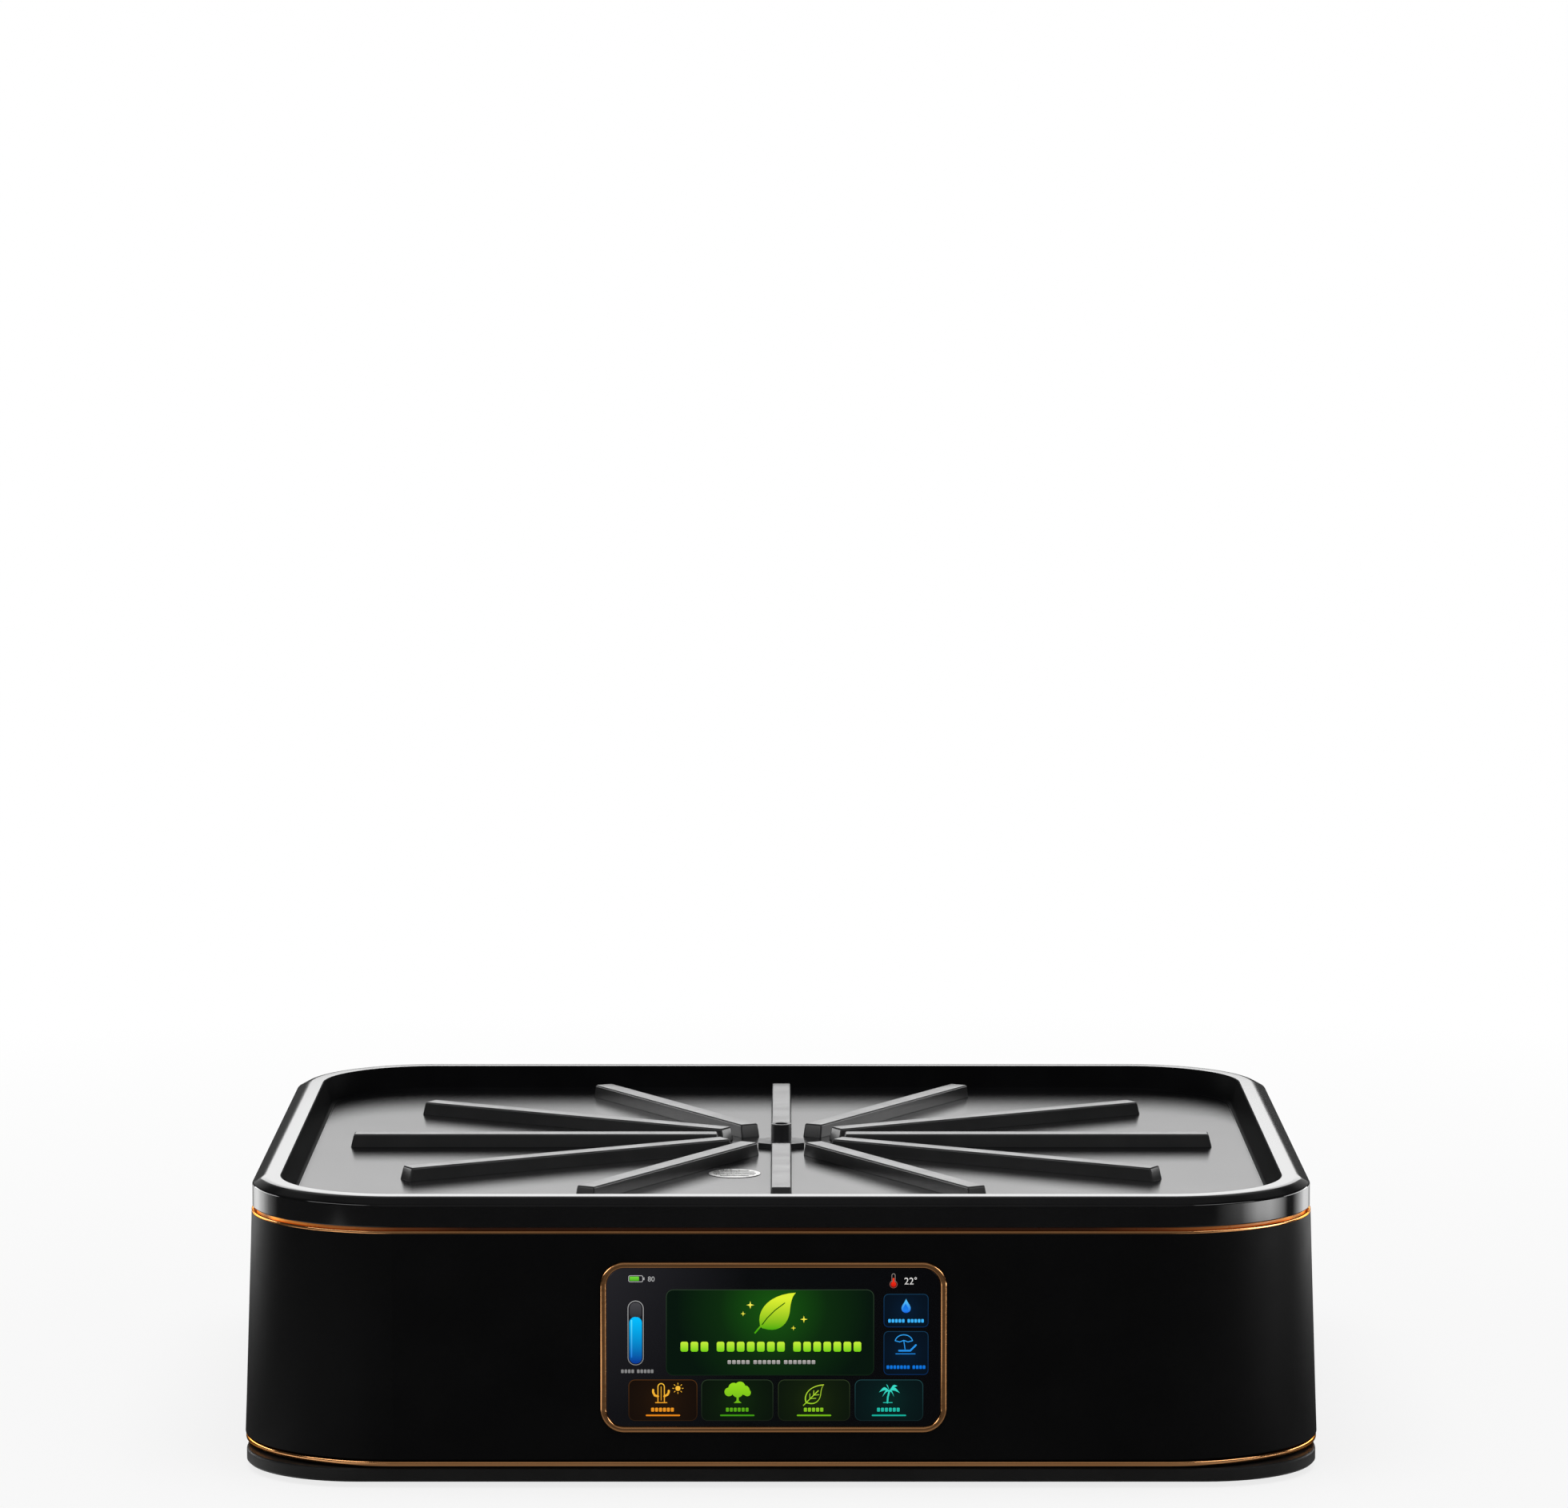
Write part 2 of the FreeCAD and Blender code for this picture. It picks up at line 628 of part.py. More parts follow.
def display_panel():
    """Flat screen module bonded behind the glass, with its metal back."""
    half_w, half_h = BEZEL[0] - 6.4, BEZEL[1] - 6.4
    screen = centred(half_w, half_h, GLASS_BACK - PANEL_THICK + 0.8, GLASS_BACK)
    back = centred(half_w - 2.4, half_h - 2.4, GLASS_BACK - PANEL_THICK, GLASS_BACK - 1)
    return on_display(fuse([screen, back]))


def control_board():
    """Circuit board on spacers behind the screen, with chips and one lead connector."""
    face = GLASS_BACK - PANEL_THICK - SPACER_TALL
    back = face - BOARD_THICK
    parts = [centred(56.0, 26.0, back, face)]
    for x in (-50, 50):
        for y in (-20, 20):
            parts.append(hexagon(2.8, face, face + SPACER_TALL, Vector(x, y, 0)))
    chips = [(-20, -4, 7, 7, 1.6), (12, 8, 4.5, 4.5, 1.4), (30, -12, 9, 4, 5), (0, -16, 5, 2.5, 2)]
    for x, y, half_w, half_h, tall in chips:
        parts.append(centred(half_w, half_h, back - tall, back, Vector(x, y, 0)))
    connector = block(-51, -40, PLUG_Y - 6, PLUG_Y, PLUG_Z - 3, PLUG_Z + 3)
    return fuse([on_display(fuse(parts)), connector])


def battery_pack():
    """Four round cells wrapped together, lying in the cradle."""
    pack = slab(BATTERY, -BATTERY_HALF, BATTERY_HALF)
    pack.rotate(ORIGIN, Vector(0, 1, 0), 90)
    pack.translate(BATTERY_AT + Vector(0, 0, SLAB_TOP + BATTERY[0]))
    return pack


def battery_clamp():
    """Strap over the cells with a foot at each side of the cradle."""
    top = SLAB_TOP + 2 * BATTERY[0] + 0.3
    half_y = BATTERY[0] + 1.6
    outer = centred(STRAP_HALF, half_y + STRAP_THICK, SLAB_TOP, top + STRAP_THICK, BATTERY_AT)
    return outer.cut(centred(STRAP_HALF + 1, half_y, SLAB_TOP - 1, top, BATTERY_AT))


def electronics_cover():
    """Splash cover over the dry bay, held between the tank lid and the ledge."""
    top, thick, wall_at = 90.0, 2.0, -111.8
    plate = block(-150, 150, -160, wall_at + thick, top - thick, top)
    wall = block(-150, 150, wall_at, wall_at + thick, LID_TOP, top - 1)
    ribs = [centred(1, 24, top - 1, HOUSING_TOP - LEDGE_THICK, Vector(60 * i, -135, 0)) for i in range(-2, 3)]
    lead_notch = block(-52, -38, wall_at - 1, wall_at + thick + 1, LID_TOP - 1, LID_TOP + 8)
    return fuse([plate, wall] + ribs).cut(lead_notch)


# Tank, lid and the pieces in the water

def water_tank():
    """Open tub with an inward flange for the lid's seal and a lug for each clip."""
    tub = slab(TANK, TANK_BOTTOM, TANK_TOP, TANK_AT)
    hollow = slab(grow(TANK, -TANK_WALL), TANK_FLOOR, TANK_TOP - FLANGE_THICK, TANK_AT)
    mouth = slab(grow(TANK, -TANK_FLANGE), TANK_TOP - FLANGE_THICK - 1, TANK_TOP + 1, TANK_AT)
    lugs = [block(min(x, x * grown), max(x, x * grown), y - LUG_HALF, y + LUG_HALF, *LUG_Z)
            for x in (-TANK[0], TANK[0]) for y in LUG_Y for grown in (1 + LUG_OUT / TANK[0],)]
    return fuse([tub.cut([hollow, mouth])] + lugs)


def tank_seal():
    """Flat rubber ring between the tub and its lid."""
    return frame_slab(grow(TANK, SEAL_WIDTH - TANK_FLANGE), SEAL_WIDTH, TANK_TOP, LID_BOTTOM, TANK_AT)


def tank_lid():
    """Ribbed lid with the outlet tower, drain collar, filler slot and lead clips."""
    plate = slab(TANK, LID_BOTTOM, LID_TOP, TANK_AT)
    ribs = [block(x - 1, x + 1, -97, 100, LID_TOP - 0.5, LID_RIB_TOP) for x in (-140, -90, 90, 140)]
    tower = rod(TOWER_R, LID_TOP - 1, TOWER_TOP, RIB_CENTRE)
    gussets = [
        centred(22, 1, LID_TOP - 0.5, LID_TOP + 12, RIB_CENTRE),
        centred(1, 22, LID_TOP - 0.5, LID_TOP + 12, RIB_CENTRE)]
    collar = centred(DRAIN_R + 3, DRAIN_R + 3, LID_TOP - 1, LID_TOP + 6, DRAIN)
    clips = [centred(2.9, 3, LID_TOP - 0.5, ON_LID + 1, Vector(x, y, 0)) for x, y in LEAD_CLIPS]
    body = fuse([plate, tower, collar] + ribs + gussets + clips)
    channels = [centred(CABLE_R, 4, LID_TOP, ON_LID + 2, Vector(x, y, 0)) for x, y in LEAD_CLIPS]
    cuts = channels + [
        rod(SPIGOT_R + 0.2, 50, RISER_TOP + 1, RIB_CENTRE),
        hexagon(SEAL_REACH, RISER_TOP, TOWER_TOP + 1, RIB_CENTRE),
        centred(DRAIN_R, DRAIN_R, 50, 80, DRAIN),
        prism(GUIDE_SIDES, GUIDE_R + RUNNING, 50, 80, FLOAT),
        centred(2.6, 2.6, 50, 80, CABLE_HOLE),
        centred(SPOUT_HALF + 2, 9, 50, 80, Vector(DOOR_X, sum(SPOUT_Y) / 2, 0))]
    return body.cut(cuts)


def lid_clips():
    """Four spring steel clips that hook under the tub's lugs and over the lid's edge."""
    inner_x, outer_x = TANK[0] - 4.0, TANK[0] + LUG_OUT + 0.3
    half, thick = CLIP_HALF, CLIP_THICK
    back = block(outer_x, outer_x + thick, -half, half, LUG_Z[0] - thick, LID_TOP + thick)
    top = block(inner_x, outer_x + 0.5, -half, half, LID_TOP, LID_TOP + thick)
    hook = block(TANK[0] + 1.0, outer_x + 0.5, -half, half, LUG_Z[0] - thick, LUG_Z[0])
    clip = fuse([back, top, hook])
    other = clip.mirror(ORIGIN, RIGHT)
    pair = Part.makeCompound([clip, other])
    return Part.makeCompound([item for y in LUG_Y for item in copies(pair, [(0, y)]).Solids])


def outlet_seal():
    """Keyed rubber sleeve in the tower that the tray's spigot slides into."""
    sleeve = hexagon(SEAL_REACH - RUNNING, RISER_TOP + 0.2, TOWER_TOP, RIB_CENTRE)
    return sleeve.cut(rod(SPIGOT_R + RUNNING, RISER_TOP, TOWER_TOP + 1, RIB_CENTRE))


def riser_tube():
    """Tube from the pump up to the outlet tower."""
    return pipe(SPIGOT_R, RISER_BORE_R, RISER_FOOT, RISER_TOP, RIB_CENTRE)


def pump_housing():
    """Motor pod with a vane chamber below, a rotor well and an outlet for the riser."""
    low, high = PUMP_Z
    pod = bevelled(*PUMP_BODY, PUMP_BEVEL, low, high, PUMP_BODY_AT)
    half = RISER_BORE_R
    channel = block(PUMP.x + 9, half, PUMP.y - half, PUMP.y + half, low + 1, low + 8)
    rise = centred(half, half, low + 7, RISER_FOOT + 1, RIB_CENTRE)
    cuts = [
        rod(CHAMBER_R, low - 1, CHAMBER_TOP, PUMP),
        prism(ROTOR_SIDES, WELL_REACH, low, WELL_TOP, PUMP),
        rod(SHAFT_R + 0.01, low, WELL_TOP + 2, PUMP),
        channel,
        rise,
        rod(SPIGOT_R + RUNNING, RISER_FOOT, OUTLET_TOP + 1, RIB_CENTRE),
        centred(CABLE_R, CABLE_R, high - 3, high + 1, PUMP_CABLE_AT)]
    return fuse([pod, hexagon(OUTLET_R, high - 1, OUTLET_TOP, RIB_CENTRE)]).cut(cuts)


def pump_cover():
    """Slotted suction plate under the pump, on four short feet."""
    low = PUMP_Z[0]
    plate = bevelled(*PUMP_BODY, PUMP_BEVEL, low - 3, low, PUMP_BODY_AT)
    feet = [centred(2, 2, TANK_FLOOR, low - 2, PUMP_BODY_AT + Vector(sx * 20, sy * 13, 0))
            for sx in (-1, 1) for sy in (-1, 1)]
    slots = [centred(1, 8, low - 4, low + 1, PUMP + Vector(x, 0, 0)) for x in (-10, -6.5, 6.5, 10)]
    return fuse([plate] + feet).cut(slots + [rod(SHAFT_R + 0.01, low - 2, low + 1, PUMP)])


def pump_impeller():
    """Open vanes on a twelve-pole magnet rotor that turns on the fixed shaft."""
    low = PUMP_Z[0] + 1
    magnet = prism(ROTOR_SIDES, ROTOR_REACH, CHAMBER_TOP - 2, WELL_TOP - 1, PUMP)
    vanes = []
    for i in range(VANES):
        vane = block(0, VANE_REACH, -0.8, 0.8, low, CHAMBER_TOP - 1)
        vane.rotate(ORIGIN, UP, 360 * i / VANES)
        vane.translate(PUMP)
        vanes.append(vane)
    hub = hexagon(4.0, low, CHAMBER_TOP, PUMP)
    return fuse([magnet, hub] + vanes).cut(rod(SHAFT_R + RUNNING, 0, 60, PUMP))


def pump_shaft():
    """Fixed ceramic shaft of the impeller."""
    return rod(SHAFT_R, PUMP_Z[0] - 2, WELL_TOP + 2, PUMP)


def float_guide():
    """Sealed twelve-sided rod with the level switches, hanging from the lid, with a stop at its foot."""
    stem = prism(GUIDE_SIDES, GUIDE_R, TANK_FLOOR + 1, LID_TOP + 4, FLOAT)
    stop = hexagon(7.0, FLOAT_Z[0] - 2, FLOAT_Z[0], FLOAT)
    return fuse([stem, stop, hexagon(7.0, LID_TOP, LID_TOP + 3, FLOAT)])


def level_float():
    """Hollow float that slides on the guide rod."""
    low, high = FLOAT_Z
    bore = prism(GUIDE_SIDES, GUIDE_R + 0.5, low - 1, high + 1, FLOAT)
    return bevelled(*FLOAT_BODY, low, high, FLOAT).cut(bore)


def pump_cable():
    """Lead from the pump up through the lid and forward to the control board."""
    return cable(8.0, [
        (PUMP_CABLE_AT.x, PUMP_CABLE_AT.y, PUMP_Z[1] - 3), (PUMP_CABLE_AT.x, PUMP_CABLE_AT.y, 52.5),
        (CABLE_HOLE.x, CABLE_HOLE.y, 56), (CABLE_HOLE.x, CABLE_HOLE.y, 73), (CABLE_HOLE.x, -22, 68),
        (CABLE_HOLE.x, -52, ON_LID), (CABLE_HOLE.x, -108, ON_LID), (CABLE_HOLE.x, -132, PLUG_Z),
        (CABLE_HOLE.x, PLUG_Y, PLUG_Z)])


# Filler door and funnel

def hinge_rod(half_length, radius):
    """Cylinder on the door's hinge line, in the plane of the back wall."""
    start = Vector(-half_length, -DOOR[1] + DOOR_THICK, -DOOR_THICK)
    return Part.makeCylinder(radius, 2 * half_length, start, RIGHT)


def hinge_seat():
    """Square socket that holds the ends of the hinge bar."""
    reach, half = DOOR[0] + 4.0, DOOR_PIN_R + 0.02
    seat = centred(reach, half, -half - DOOR_THICK, half - DOOR_THICK, Vector(0, -DOOR[1] + DOOR_THICK, 0))
    return seat


def cheek(x):
    """Side plate that guides the water when the door is tilted out."""
    axis = Vector(x, -DOOR[1] + DOOR_THICK, -DOOR_THICK)
    wedge = Part.makeCylinder(CHEEK_R, CHEEK_THICK, axis, RIGHT, CHEEK_ANGLE)
    start = Part.makeCylinder(CHEEK_R, CHEEK_THICK, axis, RIGHT, 1.0)
    angle = math.degrees(math.atan2(start.CenterOfMass.z - axis.z, start.CenterOfMass.y - axis.y))
    wedge.rotate(axis, RIGHT, -angle - CHEEK_ANGLE)
    return wedge


def filler_door():
    """Tilt-out chute: flush panel on a barrel hinge with a cheek at each side and a finger scoop."""
    half_w, half_h, _ = DOOR
    panel = slab(DOOR, -DOOR_THICK, 0)
    panel = panel.cut(block(-half_w - 1, half_w + 1, -half_h - 1, -half_h + DOOR_THICK, -5, 1))
    barrel = hinge_rod(half_w - CHEEK_INSET + 0.5, DOOR_THICK)
    cheeks = [cheek(-half_w + CHEEK_INSET), cheek(half_w - CHEEK_INSET - CHEEK_THICK)]
    scoop = Part.makeCylinder(16, 24, Vector(-12, half_h, 14.6), RIGHT)
    return on_door(fuse([panel, barrel] + cheeks).cut([scoop, hinge_rod(half_w + 1, DOOR_PIN_R + RUNNING)]))


def door_hinge_pin():
    """Spring bar that the door turns on, seated in the housing at both ends."""
    return on_door(hinge_rod(DOOR[0] + 3.6, DOOR_PIN_R))


def side_profile(points, half):
    """Solid of constant section across the door's width, from (y, z) points."""
    outline = [Vector(DOOR_X - half, y, z) for y, z in points]
    return Part.Face(Part.makePolygon(outline + outline[:1])).extrude(Vector(2 * half, 0, 0))


def filler_funnel():
    """Trough behind the door that leads the water down into the tank."""
    front, floor = TROUGH_FRONT, LID_TOP
    back_low, back_high = wall_y(floor) - TROUGH_CLEAR, wall_y(TROUGH_TOP) - TROUGH_CLEAR
    outside = [(front, floor), (back_low, floor), (back_high, TROUGH_TOP), (front, TROUGH_TOP)]
    shell = side_profile(outside, TROUGH_HALF)
    hollow = side_profile([
        (front + TROUGH_WALL, floor + TROUGH_WALL), (SPOUT_Y[1], floor + TROUGH_WALL),
        (back_low + 1, floor + 3.6), (back_low + 1, TROUGH_TOP + 1),
        (front + TROUGH_WALL, TROUGH_TOP + 1)], TROUGH_HALF - TROUGH_WALL)
    middle = Vector(DOOR_X, sum(SPOUT_Y) / 2, 0)
    half_y = (SPOUT_Y[1] - SPOUT_Y[0]) / 2
    spout = centred(SPOUT_HALF + 1.7, half_y + 1.7, LID_BOTTOM - 4, floor + 1, middle)
    return fuse([shell.cut(hollow), spout]).cut(centred(SPOUT_HALF, half_y, 50, 70, middle))


# Port panel with the power button and charging socket

def port_panel():
    """Panel held behind the wall, with a round button hole and a rounded socket slot."""
    plate = slab(grow(PORT_PANEL, -0.15), -3.0, -0.5)
    flange = centred(PORT_PANEL[0] + 3, PORT_PANEL[1] + 3, -4.6, -3.0)
    cuts = [rod(BUTTON_R + 0.2, -10, 5, BUTTON_AT), slab(SOCKET, -10, 5, SOCKET_AT)]
    return on_port(fuse([plate, flange]).cut(cuts))


def power_button():
    """Round cap with a square retaining flange and a stem."""
    cap = rod(BUTTON_R, -5.0, 0.8, BUTTON_AT)
    flange = centred(BUTTON_R + 1, BUTTON_R + 1, -5.8, -4.7, BUTTON_AT)
    return on_port(fuse([cap, flange, centred(1.8, 1.8, PLUNGER_TOP, -5.5, BUTTON_AT)]))


def switch_plunger():
    """Plunger of the switch that the button's stem pushes on."""
    return on_port(centred(1.4, 1.4, PLUNGER_TOP - 2.4, PLUNGER_TOP, BUTTON_AT))


def power_switch():
    """Push switch soldered on the port board."""
    face = PORT_BOARD_FACE
    body = centred(3.5, 3.5, face, face + 2.6, BUTTON_AT)
    return on_port(body.cut(centred(1.6, 1.6, face + 0.2, 0, BUTTON_AT)))


def charge_socket():
    """Folded metal socket shell with its contact tongue."""
    face = PORT_BOARD_FACE
    half_w, half_h = SOCKET[0] - 0.15, SOCKET[1] - 0.15
    shell = bevelled(half_w, half_h, SHELL_BEVEL, face, -1.0, SOCKET_AT)
    shell = shell.cut(bevelled(half_w - 0.4, half_h - 0.4, SHELL_BEVEL - 0.25, face - 1, 0, SOCKET_AT))
    back = centred(SOCKET[0] - 0.6, SOCKET[1] - 0.4, face, face + 2, SOCKET_AT)
    return on_port(fuse([shell, back, centred(3.2, 0.35, face + 1, -2.2, SOCKET_AT)]))


def port_board():
    """Small board on four posts behind the port panel, with the connector of its lead."""
    face = PORT_BOARD_FACE
    board = centred(26.0, 11.5, face - BOARD_THICK, face)
    posts = [centred(1.8, 1.8, face, -4.6, Vector(x, y, 0)) for x in (-23, 23) for y in (-8.5, 8.5)]
    connector = block(PORT_X - 4, PORT_X + 4, PORT_LEAD_Y, PORT_LEAD_Y + 4, PORT_Z + 5, PORT_Z + 11)
    return fuse([on_port(fuse([board] + posts)), connector])


def charge_cable():
    """Lead from the port board over the tank lid to the control board."""
    end_x = CABLE_HOLE.x - 5
    return cable(10.0, [
        (PORT_X, PORT_LEAD_Y, PORT_Z + 8), (PORT_X, 138, PORT_Z + 8), (-64, 108, ON_LID), (-60, 60, ON_LID),
        (-58, -40, ON_LID), (end_x, -76, ON_LID), (end_x, -108, ON_LID), (end_x, -132, PLUG_Z),
        (end_x, PLUG_Y, PLUG_Z)])


NODES = [
    top_tray, water_nozzle, nozzle_nut, drain_strainer, housing, base_plate, rubber_feet, base_screws,
    lower_trim, upper_trim, light_ring, led_bars, tray_pads, display_bezel, display_glass, display_gasket,
    display_panel, control_board, battery_pack, battery_clamp, electronics_cover, water_tank, tank_seal,
    tank_lid, lid_clips, outlet_seal, riser_tube, pump_housing, pump_cover, pump_impeller, pump_shaft,
    float_guide, level_float, pump_cable, filler_door, door_hinge_pin, filler_funnel,
    port_panel, power_button, switch_plunger, power_switch, charge_socket, port_board, charge_cable]


def main():
    os.makedirs("parts", exist_ok=True)
    for build in NODES:
        shape = build()
        if not shape.isValid():
            raise ValueError("invalid solid: " + build.__name__)
        shape.exportStep("parts/" + build.__name__ + ".step")
        print(build.__name__, len(shape.Solids), round(shape.Volume / 1000, 2), "cm3")


main()
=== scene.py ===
import json
import math
import bpy
import bmesh
from mathutils import Matrix, Vector

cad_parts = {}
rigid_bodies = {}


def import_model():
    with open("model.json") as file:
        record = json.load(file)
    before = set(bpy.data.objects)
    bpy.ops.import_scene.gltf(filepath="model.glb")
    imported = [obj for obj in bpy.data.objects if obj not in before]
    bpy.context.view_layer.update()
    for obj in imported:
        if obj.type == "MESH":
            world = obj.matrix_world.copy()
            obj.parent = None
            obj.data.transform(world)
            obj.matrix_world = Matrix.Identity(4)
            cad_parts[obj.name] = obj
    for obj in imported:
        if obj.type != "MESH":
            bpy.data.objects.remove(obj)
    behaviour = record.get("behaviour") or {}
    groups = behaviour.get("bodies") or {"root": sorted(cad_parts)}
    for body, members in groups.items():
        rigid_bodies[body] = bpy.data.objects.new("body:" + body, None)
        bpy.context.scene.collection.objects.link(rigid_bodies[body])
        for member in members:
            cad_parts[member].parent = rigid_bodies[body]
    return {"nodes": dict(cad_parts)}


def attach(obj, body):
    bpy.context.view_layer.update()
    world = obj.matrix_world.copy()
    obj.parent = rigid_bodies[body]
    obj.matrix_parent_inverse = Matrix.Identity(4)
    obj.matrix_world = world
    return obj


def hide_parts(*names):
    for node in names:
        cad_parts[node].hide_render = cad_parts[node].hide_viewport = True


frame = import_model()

# Smart planter base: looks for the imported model. Lengths are millimetres until a mesh is made.
MM = 0.001

for spare in [o for o in bpy.data.objects if o.type in {"CAMERA", "LIGHT"} or o.name == "Cube"]:
    bpy.data.objects.remove(spare)
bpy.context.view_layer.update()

# Rounded outlines seen from above: half width, half depth, corner radius
OUTLINE = (199.5, 171.5, 56.0)
HEAD = (199.8, 171.8, 56.3)
MOULDING = (202.5, 174.5, 59.0)
CORNER_STEPS = 28

# Heights above the ground
TRIM_SEAT = 8.0
LIP_BOTTOM = 10.2
HOUSING_BOTTOM = 10.8
HOUSING_TOP = 94.8
FLOOR_BOTTOM = 95.5
BEAD_TOP = 95.9
GUIDE_TOP = 96.8
SKIRT_BOTTOM = 97.1
FLOOR_TOP = 98.5
RIB_TOP = 103.7
RIM_TOP = 108.0

# How far the front wall leans out from top to bottom, and its angle
FLARE = 2.9
TILT = math.atan2(FLARE, HOUSING_TOP - HOUSING_BOTTOM)

# Tray rim, inwards from the outline: the chamfer is (inwards, down), the hollow (at its roof, at the floor)
CHAMFER = (4.5, 2.4)
RIM_FLAT = 6.5
INNER_DRAFT = 3.2
RIM_WALL = 3.0
RIM_HOLLOW = (8.6, 12.1)
FLOOR_EDGE = 15.6

# Ribs and holes of the tray
RIB_CENTRE = (0.0, 10.0)
RIB_START = 24.0
RIB_HALF = 4.1
RIB_SIDE_DRAFT = 0.25
RIB_END_DRAFT = 1.4
RIB_REACH = {0: 170.5, 30: 167.0, 60: 149.0, 90: 132.0}
SPIGOT_HOLE_R = 5.2
DRAIN = (-18.0, -58.0)
DRAIN_HOLE_R = 10.1
DRAIN_SEAT = 97.3
TAIL_BORE_R = 4.5
TAIL_R = 6.5
TAIL_BOTTOM = 72.0

# Trims and light guide, inwards from their outlines
BEAD_WIDTH = 6.5
MOULDING_WIDTH = 3.2
GUIDE_INSET = 1.9

# Display, in the plane of the front wall
DISPLAY_X = -2.8
DISPLAY_Z = 52.7
BEZEL = (64.1, 31.8, 9.0)
BEZEL_WIDTH = 2.3
BEZEL_PROUD = 0.9
BEZEL_LIP = 5.0
BEZEL_COLLAR = 2.0
BEZEL_STEPS = 20
GLASS_TOP = 0.5
GLASS_BACK = -1.3


# Node materials

def grey(level):
    return (level, level, level)


def greys(*stops):
    """Ramp stops in plain grey, from (position, level) pairs."""
    return [(position, grey(level)) for position, level in stops]


def linear(red, green, blue):
    """Screen colour of 0 to 255 as scene values."""
    shares = [value / 255 for value in (red, green, blue)]
    return tuple(s / 12.92 if s <= 0.04045 else ((s + 0.055) / 1.055) ** 2.4 for s in shares)


class Nodes:
    """A node tree that is wired up step by step."""

    def __init__(self, tree, coordinates):
        self.tree = tree
        self.tree.nodes.clear()
        self.place = self.node("TexCoord").outputs[coordinates]

    def node(self, kind, **settings):
        made = self.tree.nodes.new("ShaderNode" + kind)
        for key, value in settings.items():
            setattr(made, key, value)
        return made

    def link(self, source, output, target, socket):
        self.tree.links.new(source.outputs[output], target.inputs[socket])

    def wire(self, output, target, socket):
        self.tree.links.new(output, target.inputs[socket])

    def noise(self, scale, detail=3.0, place=None):
        made = self.node("TexNoise")
        made.inputs["Scale"].default_value = scale
        made.inputs["Detail"].default_value = detail
        self.wire(place or self.place, made, "Vector")
        return made.outputs["Fac"]

    def cells(self, scale, **settings):
        """Distance within a pattern of cells."""
        made = self.node("TexVoronoi", **settings)
        made.inputs["Scale"].default_value = scale
        self.wire(self.place, made, "Vector")
        return made.outputs["Distance"]

    def spread(self, value, low, high, start=0.3, end=0.7):
        """Value from start to end mapped to low to high."""
        made = self.node("MapRange")
        for socket, number in (("From Min", start), ("From Max", end), ("To Min", low), ("To Max", high)):
            made.inputs[socket].default_value = number
        self.wire(value, made, "Value")
        return made.outputs["Result"]

    def ramp(self, value, stops):
        made = self.node("ValToRGB")
        ramp = made.color_ramp
        while len(ramp.elements) < len(stops):
            ramp.elements.new(1.0)
        for element, (position, colour) in zip(ramp.elements, stops):
            element.position = position
            element.color = (*colour, 1.0)
        self.wire(value, made, "Fac")
        return made.outputs["Color"]

    def mixed(self, factor, first, second):
        """Colour between two colour outputs."""
        made = self.node("Mix", data_type="RGBA")
        self.wire(factor, made, 0)
        self.wire(first, made, 6)
        self.wire(second, made, 7)
        return made.outputs[2]

    def blend(self, factor, first, second, output):
        """Output that goes from one shader to another."""
        made = self.node("MixShader")
        self.wire(factor, made, 0)
        self.link(first, 0, made, 1)
        self.link(second, 0, made, 2)
        self.link(made, 0, output, 0)

    def axis(self, letter):
        """One coordinate of the place."""
        split = self.node("SeparateXYZ")
        self.wire(self.place, split, "Vector")
        return split.outputs[letter]

    def worked(self, kind, operation, values):
        """Node that works on outputs or on constants."""
        made = self.node(kind, operation=operation)
        for socket, value in enumerate(values):
            if isinstance(value, (int, float, tuple)):
                made.inputs[socket].default_value = value
            else:
                self.wire(value, made, socket)
        return made

    def maths(self, operation, *values):
        return self.worked("Math", operation, values).outputs[0]

    def vectors(self, operation, *values):
        return self.worked("VectorMath", operation, values).outputs[0]

    def product(self, *values):
        """All values multiplied, from the left."""
        total = values[0]
        for value in values[1:]:
            total = self.maths("MULTIPLY", total, value)
        return total

    def measure(self, operation, *values):
        """One number from vectors, such as a length."""
        return self.worked("VectorMath", operation, values).outputs["Value"]

    def rays(self):
        """Whether a ray comes from the camera, and whether it was reflected or went through glass."""
        paths = self.node("LightPath").outputs
        indirect = self.maths("MAXIMUM", paths["Is Glossy Ray"], paths["Is Transmission Ray"])
        return paths["Is Camera Ray"], indirect


class Material(Nodes):
    """A surface material built round one shader."""

    def __init__(self, name):
        self.material = bpy.data.materials.new(name)
        self.material.use_nodes = True
        super().__init__(self.material.node_tree, "Object")
        self.output = self.node("OutputMaterial")
        self.shader = self.node("BsdfPrincipled")
        self.link(self.shader, 0, self.output, 0)

    def stretched(self, scale):
        """Object coordinates with their own scale along each axis."""
        mapping = self.node("Mapping")
        mapping.inputs["Scale"].default_value = scale
        self.wire(self.place, mapping, "Vector")
        return mapping.outputs[0]

    def colour(self, output):
        self.wire(output, self.shader, "Base Color")

    def roughness(self, output):
        self.wire(output, self.shader, "Roughness")

    def bump(self, value, strength, distance, edge=0.0):
        """Relief from a value; edge is the radius that sharp edges are shaded with, in metres."""
        made = self.node("Bump")
        made.inputs["Strength"].default_value = strength
        made.inputs["Distance"].default_value = distance
        self.wire(value, made, "Height")
        if edge:
            rounded = self.node("Bevel", samples=6)
            rounded.inputs["Radius"].default_value = edge
            self.link(rounded, 0, made, "Normal")
        self.link(made, 0, self.shader, "Normal")

    def set(self, **values):
        """Constants on the shader's own sockets; an underscore stands for a space."""
        for key, value in values.items():
            self.shader.inputs[key.replace("_", " ")].default_value = value


